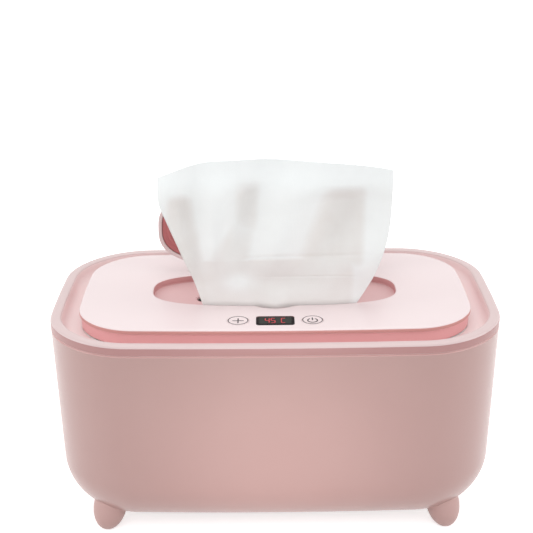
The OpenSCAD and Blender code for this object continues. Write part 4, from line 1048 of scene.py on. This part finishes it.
rings = (at_heights(oval(CHUTE_A + 1, CHUTE_B + 1), INSERT_Z, PLATE_Z)
         + rings_of(opening, [[0.3, PLATE_Z]] + floor_edge + [[-1.2, RECESS_Z]])
         + rings_of(slot, [[1.6, RECESS_Z]] + lip + [[0, INSERT_Z]]))
post = ([[OVAL_B + 0.3, INSERT_Z + 0.2]] + arc((OVAL_B + 1.9, TOP_Z - 1.7), 1.6, 180, 90, 8)
        + arc((CAP_Y + 1.6, TOP_Z - 1.7), 1.6, 90, 0, 8) + [[CAP_Y + 3.2, INSERT_Z + 0.2]])
posts = beside(post, CAP_HINGE_X, CAP_LUG_START, CAP_LUG_L, 0.25)
insert = make_piece("slot_insert_smooth", [loft(rings, closed=True)] + posts, "lid", "insert_abs",
                    ["slot_insert"])
cut_away(insert, [box_shell([s * CAP_HINGE_X - CAP_LUG_START, OVAL_B - 1.1, INSERT_Z + 0.6],
                            [s * CAP_HINGE_X + CAP_LUG_START, CAP_Y + 6, TOP_Z + 1])
                  for s in (-1, 1)])
# painted shade: the recess's wall and its fillet get the deeper rose as well
paint_light_and_shade(insert, "recess_wall_painted_shade", False, RECESS_Z + 0.25, PLATE_Z, FILLET_UP)

# %% [markdown]
# ## Keys
# Two round keys stand a quarter of a millimetre above the plate. Each has a printed
# ring near its edge and a printed sign, a plus or a power sign. The print is a raised
# film of ink: flat strokes with round ends, laid just above the key's shallow dish.

# %% Keys and their printed signs
KEY_TOP = TOP_Z + 0.25
INK_Z, INK_T = KEY_TOP - 0.19, 0.07
RING_W, PLUS_W, POWER_W = 0.44, 0.58, 0.62  # widths of the printed strokes
BOARD_T, SWITCH_H = 1.2, 1.2
STEM_Z = FRAME_Z + FRAME_T + BOARD_T + SWITCH_H - 0.1
FLANGE_Z = PLATE_Z - 0.1
key_profile = (
    [[AXIS_R, STEM_Z], [1.6, STEM_Z]]
    + about(0, FLANGE_Z, (1.6, -0.7), (KEY_R + 1, -0.7), (KEY_R + 1, 0), (KEY_R, 0))
    + [[KEY_R, KEY_TOP - 0.45]] + quarter([KEY_R, KEY_TOP - 0.4], [KEY_R - 0.4, KEY_TOP], 6, False)
    + about(KEY_R, KEY_TOP, (-0.9, 0), (-1.2, -0.06), (-1.6, -0.2)) + [[AXIS_R, KEY_TOP - 0.2]])


def ink_stroke(path, width, z, joined=False):
    """A flat stroke of ink along a plan path: at each point a small upright rectangle,
    half the width to each side along the path's normal. Towards its two ends the
    width falls as the square root of 1 - t^2, which makes them round."""
    path = np.array(path, float)
    past = np.linspace(0, 1, 6)[1:]
    if joined:
        along = np.roll(path, -1, 0) - np.roll(path, 1, 0)
    else:
        ends = np.array([path[0] - path[1], path[-1] - path[-2]])
        ends /= np.linalg.norm(ends, axis=1)[:, None]
        reach = past[:, None] * width / 2
        path = np.concatenate([(path[0] + reach * ends[0])[::-1], path, path[-1] + reach * ends[1]])
        along = np.gradient(path, axis=0)
    half = np.full(len(path), width / 2)
    if not joined:
        taper = np.sqrt(1 - (0.98 * past) ** 2)
        half[:5], half[-5:] = half[:5] * taper[::-1], half[-5:] * taper
    across = half / np.linalg.norm(along, axis=1)
    side = np.stack([-along[:, 1], along[:, 0]], 1) * across[:, None]
    corners = at_heights(path + side, z, z + INK_T) + at_heights(path - side, z + INK_T, z)
    return loft(np.stack(corners, 1), joined)


for name, x in (("plus", -KEY_X), ("power", KEY_X)):
    body = name + "_button"
    make_piece(name + "_key_cap", [lathe(key_profile, (x, KEY_Y, 0), steps=72)], body, "plate_abs",
               [name + "_key"])
    ring = arc((x, KEY_Y), KEY_R - 0.5, 0, 360, 73)[:-1]
    signs = [ink_stroke(ring, RING_W, KEY_TOP - 0.02, joined=True)]
    if name == "plus":
        level, upright = (about(x, KEY_Y, *p) for p in (((-2.6, 0), (0, 0), (2.6, 0)),
                                                        ((0, -2.6), (0, 0), (0, 2.6))))
        signs += [ink_stroke(level, PLUS_W, INK_Z), ink_stroke(upright, PLUS_W, INK_Z + 0.005)]
    else:
        signs += [ink_stroke(arc((x, KEY_Y - 0.2), 2.4, 128, 412, 48), POWER_W, INK_Z),
                  ink_stroke(about(x, KEY_Y, (0, 0.3), (0, 1.5), (0, 2.9)), POWER_W, INK_Z)]
    make_piece(name + "_sign", signs, body, "ink")

# %% [markdown]
# ## Display
# A tinted window, nearly black, level with the plate. The grey field of the readout and
# its lit digits, separate thin bars, are drawn a hair above the glass, as they seem to
# float there, and the window's black border is left round the field.

# %% Display window, field and digits
window_edge = [[0, PLATE_Z]] + about(0, TOP_Z, (0, -0.25), (0.07, -0.07), (0.25, 0))


def window_outline(inset):
    """The window's plan drawn in by an inset."""
    return round_box(WINDOW_W - 2 * inset, WINDOW_D - 2 * inset, WINDOW_R - inset, (0, KEY_Y))


make_piece("display_window_pane", [loft(rings_of(window_outline, window_edge))], "lid",
           "smoked_window", ["display_window"])
field = round_box(WINDOW_W - 3.0, WINDOW_D - 3.2, 0.6, (0, KEY_Y))
make_piece("display_field", [loft(at_heights(field, TOP_Z - 0.1, TOP_Z + 0.02))], "lid",
           "field")

FINISHES["lit_segment"], tree = new_material("lit_red_segments")
where = add(tree, "TexCoord").outputs["Object"]
uneven = add(tree, "TexNoise", {"Vector": where, "Scale": 700.0})
tint = add(tree, "Mix", {"Factor": uneven, "A": linear("#C2303E"), "B": linear("#A82533")},
           data_type="RGBA")
shader = add(tree, "BsdfPrincipled", {
    "Base Color": tint, "Roughness": 0.4, "Emission Color": linear("#D02030"),
    "Emission Strength": 0.25})
add(tree, "OutputMaterial", {"Surface": shader})

SEGMENTS = {  # ends of each bar of a digit, in half widths and half heights
    "a": ((-1, 1), (1, 1)), "b": ((1, 1), (1, 0)), "c": ((1, 0), (1, -1)), "d": ((-1, -1), (1, -1)),
    "e": ((-1, 0), (-1, -1)), "f": ((-1, 1), (-1, 0)), "g": ((-1, 0), (1, 0))}
DIGIT_W, DIGIT_H, SEGMENT_W, SEGMENT_INSET = 1.9, 5.4, 0.5, 0.32
shells = []
for x, lit in ((-4.0, "bcfg"), (-1.1, "afgcd"), (4.0, "adef")):
    for letter in lit:
        start, end = np.array([x, KEY_Y]) + np.array(SEGMENTS[letter]) * [DIGIT_W / 2, DIGIT_H / 2]
        inset = (end - start) / np.linalg.norm(end - start) * SEGMENT_INSET
        bar_path = np.linspace(start + inset, end - inset, 3)
        shells.append(ink_stroke(bar_path, SEGMENT_W, TOP_Z + 0.03))
make_piece("display_digits", shells, "lid", "lit_segment")

# %% [markdown]
# ## Flip cap
# The cap is a shallow dish: a pale shell with a rounded rim, and inside it a rose
# silicone panel that presses on the recess. It is computed closed, where its outline
# is the recess's own oval, and then swung open about its hinge pins by the same 105
# degrees as the solids.

# %% Cap shell, inner panel and seal
CAP_OPEN = 105
CAP_A, CAP_B = OVAL_A - 0.6, OVAL_B - 0.6
CAP_UNDER_Z = RECESS_Z + 0.4
CAP_SKIN_Z = TOP_Z - 1.6
CAP_RIM = 2.0
CAP_CORE = 20  # inset of the innermost ring, inside which a fan closes the skin


def cap_outline(inset):
    """The cap's oval drawn in by an inset."""
    return oval(CAP_A - inset, CAP_B - inset)


def swung_open(shells):
    """Shells turned about the cap's pins, from closed to open."""
    turn = np.radians(-CAP_OPEN)
    c, s = np.cos(turn), np.sin(turn)
    swing = np.array([[1, 0, 0], [0, c, -s], [0, s, c]])
    pivot = np.array([0, CAP_Y, CAP_Z])
    return [((points - pivot) @ swing.T + pivot, faces) for points, faces in shells]


section = ([[CAP_CORE, TOP_Z], [1.8, TOP_Z]]
           + quarter([1.3, TOP_Z], [0, TOP_Z - 1.2], 9, True)
           + quarter([0, CAP_UNDER_Z + 0.6], [0.6, CAP_UNDER_Z], 6, False)
           + quarter([CAP_RIM - 0.6, CAP_UNDER_Z], [CAP_RIM, CAP_UNDER_Z + 0.6], 6, True)
           + [[CAP_RIM, CAP_SKIN_Z], [CAP_CORE, CAP_SKIN_Z]])
cap_hub = (arc((CAP_Y, CAP_Z), KNUCKLE_R - 0.6, -90, 90)
           + [[CAP_Y - 2, CAP_Z + 1.8], [CAP_B - 1.8, CAP_Z + 1.6], [CAP_B - 1.8, CAP_Z - 1.4],
              [CAP_Y - 2, CAP_Z - 1.6]])
hubs = [bar(cap_hub, s * CAP_HINGE_X, CAP_KNUCKLE_L, 0.25) for s in (-1, 1)]
tab = (arc((-CAP_B - 1.2, TOP_Z - 0.9), 0.6, 90, 270, 10)
       + about(1.5 - CAP_B, TOP_Z, (0, -1.5), (0, -0.3)))
shells = [loft(rings_of(cap_outline, section))] + hubs + [bar(tab, 0, 16, 0.5)]
make_piece("flip_cap_shell", swung_open(shells), "cap", "rim_abs", ["flip_cap"])

PANEL_Z = CAP_UNDER_Z + 0.6
section = ([[CAP_CORE, CAP_SKIN_Z - 0.02], [2.25, CAP_SKIN_Z - 0.02]]
           + quarter([2.2, PANEL_Z + 0.5], [2.7, PANEL_Z], 6, False)
           + about(0, PANEL_Z, (5, 0), (9, 0.25), (14, 0.3), (CAP_CORE, 0.3)))
make_piece("cap_panel", swung_open([loft(rings_of(cap_outline, section))]), "cap", "rose_silicone",
           ["cap_inner_panel"])
section = about(0, PANEL_Z, (5.0, 0.05), (5.0, -0.3), (5.3, -0.65), (5.7, -0.7), (6.1, -0.65),
                (6.4, -0.3), (6.4, 0.05))
make_piece("cap_seal_bead", swung_open([loft(rings_of(cap_outline, section), closed=True)]), "cap",
           "rose_silicone", ["cap_seal"])

# %% [markdown]
# ## Wipe
# A soft nonwoven sheet, cut to about 12 by 20 centimetres. Its tail lies on the stack
# in the tank, it climbs through the slot, runs forward over the slot's front lip into
# the finger notch, and stands up as a fan that leans out a little before it comes
# back. The surface is a function of the two ways across the cloth. Long flutes drift
# sideways as they rise, softer hollows and two creases lie where the photograph shows
# them, and the thickness comes last. A second set of numbers says where shade is
# painted on the sheet, for its material to read.

# %% Wipe surface
WIPE_T = 0.5
COLUMNS, TAIL_ROWS, FAN_ROWS = 181, 100, 170
FAN_LOW = 3.2
WIPE_FLAT = (0.122, 0.205)
wipe_tail = [[22, 37], [13, 36.4], [4, 37], [-3, 40], [-6, 47], [-6.4, 60], [-6.4, 75], [-6.4, 90],
             [-6.4, 103], [-6.7, 110.4], [-6.75, 112.3], [-7.8, 113], [-12, 112.85], [-17, 112.8],
             [-18.9, 113.8]]


def fan_edges(h):
    """X of the fan's left and right edge at a height above the recess's floor. The left
    one leans out evenly and then turns upright, by a soft maximum, log(1 + e^kp) / k.
    The right one leans out ever less, by 1 - (1 - h)^2.6, and has a slight waist."""
    turn = 1.2
    left = np.logaddexp(0, turn * (22.6 - 0.27 * h - 0.0021 * h**2)) / turn - 58.6
    right = 39.6 + 20.6 * (1 - (1 - np.minimum(1, h / 76)) ** 2.6)
    return left, right - 0.9 * np.exp(-(((h - 27) / 11) ** 2))


FAN_Y = -19.2  # where the fan stands on the recess's floor


def foot_bulge(x):
    """How far the sheet's foot stands behind that line: 0.6 mm short of the recess's
    front wall, -b (1 - |x/a|^n)^(1/n), and at the middle on into the finger notch."""
    wall = -OVAL_B * (1 - np.abs(x / OVAL_A) ** OVAL_POWER) ** (1 / OVAL_POWER)
    return wall + 0.6 - FAN_Y - 3.2 * np.exp(-((x / 6.3) ** 2))


u = np.linspace(-1, 1, COLUMNS)[None, :]
tail_rows = through(wipe_tail + [[FAN_Y, RECESS_Z + FAN_LOW]], TAIL_ROWS)[:-1]
tail_y, tail_z = tail_rows[:, :1], tail_rows[:, 1:2]
share = np.linspace(0, 1, FAN_ROWS)[:, None]
top = 188.85 - 2 * u - 4.1 * u**2 + 3.2 * u**3 - 2.8 * u**4
h = FAN_LOW + (top - RECESS_Z - FAN_LOW) * share**1.2
left, right = fan_edges(h)
fan_x, fan_z = left + (right - left) * (u + 1) / 2, RECESS_Z + h
fan_y = FAN_Y - 5.5 * smooth((h - 1) / 34) + 15 * smooth((h - 24) / 58)
fan_y = fan_y + foot_bulge(fan_x) * (1 - smooth((h - 5) / 14)) + 4 * smooth((h - 58) / 24)
turns = 1.4 + 1.345 * u - 0.545 * u**2 - 0.0115 * (h - 45)
flute_depth = 3 * smooth((h - 6) / 34) * (1 - 0.6 * smooth((h - 50) / 28))
fan_y = fan_y + flute_depth * np.cos(2 * np.pi * turns)
# hollows: x of the top, drift of x for each mm down, z of the top, length, half width
# and depth. Each sets in over nine millimetres and fades out below.
for x_top, drift, z_top, length, half_width, depth in (
        (-49, 0.1, 174, 40, 5, 3.6), (-11, -0.35, 179, 52, 6.5, 4.4),
        (36, -0.25, 177, 48, 13, 5.5)):
    down = z_top - fan_z
    hollow = smooth(down / 9) * (1 - smooth((down / length - 0.35) / 0.65))
    fan_y = fan_y + depth * hollow * np.exp(-(((fan_x - x_top - drift * down) / half_width) ** 2))
# a low swelling beside the middle, under the creases
fan_y = fan_y - 1.6 * np.exp(-(((fan_x + 17) / 7) ** 2) - ((fan_z - 127) / 5) ** 2)
# two creases that were folds in the pack. A fold is straight where the cloth is flat, so
# its height follows the cloth's lean; each is a shallow valley over part of the width
level = fan_z + 0.4 * (fan_y + 22)
for z0, slope, x_low, x_high, depth, width in ((142, 0.02, -22, 50, 0.5, 1.0),
                                               (131.6, 0.0, -14, 46, 0.35, 0.5)):
    reach = smooth((fan_x - x_low) / 12) * smooth((x_high - fan_x) / 12)
    fan_y = fan_y + depth * reach * np.exp(-(((level - z0 - slope * fan_x) / width) ** 2))


def thin_place(z_top, z_low, lefts, rights, blurs, edge, share):
    """Up to 1 where shade is painted on the cloth, in a strip between a left and a
    right edge that lean from their x at the top to their x at the foot.
    times smooth steps at its upper edge, its left and right side, and its end."""
    fall = np.clip((z_top - fan_z) / (z_top - z_low), 0, 1)
    x_left, x_right = (pair[0] + (pair[1] - pair[0]) * fall for pair in (lefts, rights))
    sides = smooth((fan_x - x_left) / blurs[0] + 0.5) * smooth((x_right - fan_x) / blurs[1] + 0.5)
    return share * smooth((z_top - fan_z) / edge) * sides * smooth((fan_z - z_low) / 8)


# painted shade over the sheet's lower part, below the upper crease, lighter on the swelling
lower_shade = (smooth((142.5 + 0.02 * fan_x - level) / 2.5) * smooth((43 - fan_x) / 6)
             * (1 - 0.85 * np.exp(-(((fan_x + 19) / 8) ** 2) - ((fan_z - 129) / 5) ** 2)))
# painted shade: patches in the hollows, the lower part, and a faint darkening below 180 mm
thin = np.maximum.reduce([
    thin_place(175, 110, (-53.5, -60), (-43, -29.5), (5, 8), 6, 0.7),
    thin_place(182, 150, (-19.5, -19.5), (-6.5, -9), (8, 6), 12, 0.52),
    thin_place(166, 132, (-19, -38), (-7, -15), (10, 7), 16, 0.5),
    thin_place(178, 134, (27, 9), (47, 44.5), (13, 6), 7, 0.66),
    0.58 * lower_shade, 0.16 * smooth((180 - fan_z) / 10)])
half_x = 38 * (1 + 0.35 * smooth((60 - tail_z) / 25))
foot_left, foot_right = fan_edges(0)
over_lip = smooth((tail_z - 111.5) / 1.3)
foot_x = foot_left + (foot_right - foot_left) * (u + 1) / 2
tail_x = half_x * u * (1 - over_lip) + foot_x * over_lip
between = smooth((tail_z - 45) / 30) * smooth((110 - tail_z) / 20)  # the stack and the slot
ripple = 0.9 * np.sin(5 * np.pi * u) * between
sag = foot_bulge(tail_x) * smooth((-13 - tail_y) / 6)
tail = np.stack([tail_x, tail_y + ripple + sag, tail_z + 0 * u], -1)
sheet_points = np.concatenate([tail, np.stack([fan_x, fan_y, fan_z], -1)])
rows, cols = sheet_points.shape[:2]
along = np.linalg.norm(np.diff(sheet_points[:, cols // 2], axis=0), axis=1)
run = np.concatenate([[0], np.cumsum(along)])
cloth_map = np.stack([np.broadcast_to(u * WIPE_FLAT[0] / 2, (rows, cols)),
                      np.broadcast_to(run[:, None] * MM, (rows, cols))], -1).reshape(-1, 2)
mesh = bpy.data.meshes.new("wipe_sheet")
mesh.from_pydata((sheet_points.reshape(-1, 3) * MM).tolist(), [],
                 grid_faces(rows, cols, False, False))
corner = np.zeros(len(mesh.loops), np.int32)
mesh.loops.foreach_get("vertex_index", corner)
mesh.uv_layers.new(name="cloth").data.foreach_set("uv", cloth_map[corner].ravel())
# the tail, down in the tank, gets a steady painted shade of 0.6
thin = np.concatenate([np.full(tail_x.shape, 0.6), thin]).ravel()
mesh.attributes.new("thin", "FLOAT", "POINT").data.foreach_set("value", thin)
wipe = finish_piece(mesh, "lid", "wipe_cloth", ["wipe"], sharp=180)
thickness = wipe.modifiers.new("thickness", "SOLIDIFY")
thickness.thickness, thickness.offset = WIPE_T * MM, 0.0
apply_modifiers(wipe)
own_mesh(wipe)
print("wipe length in mm", round(run[-1]))
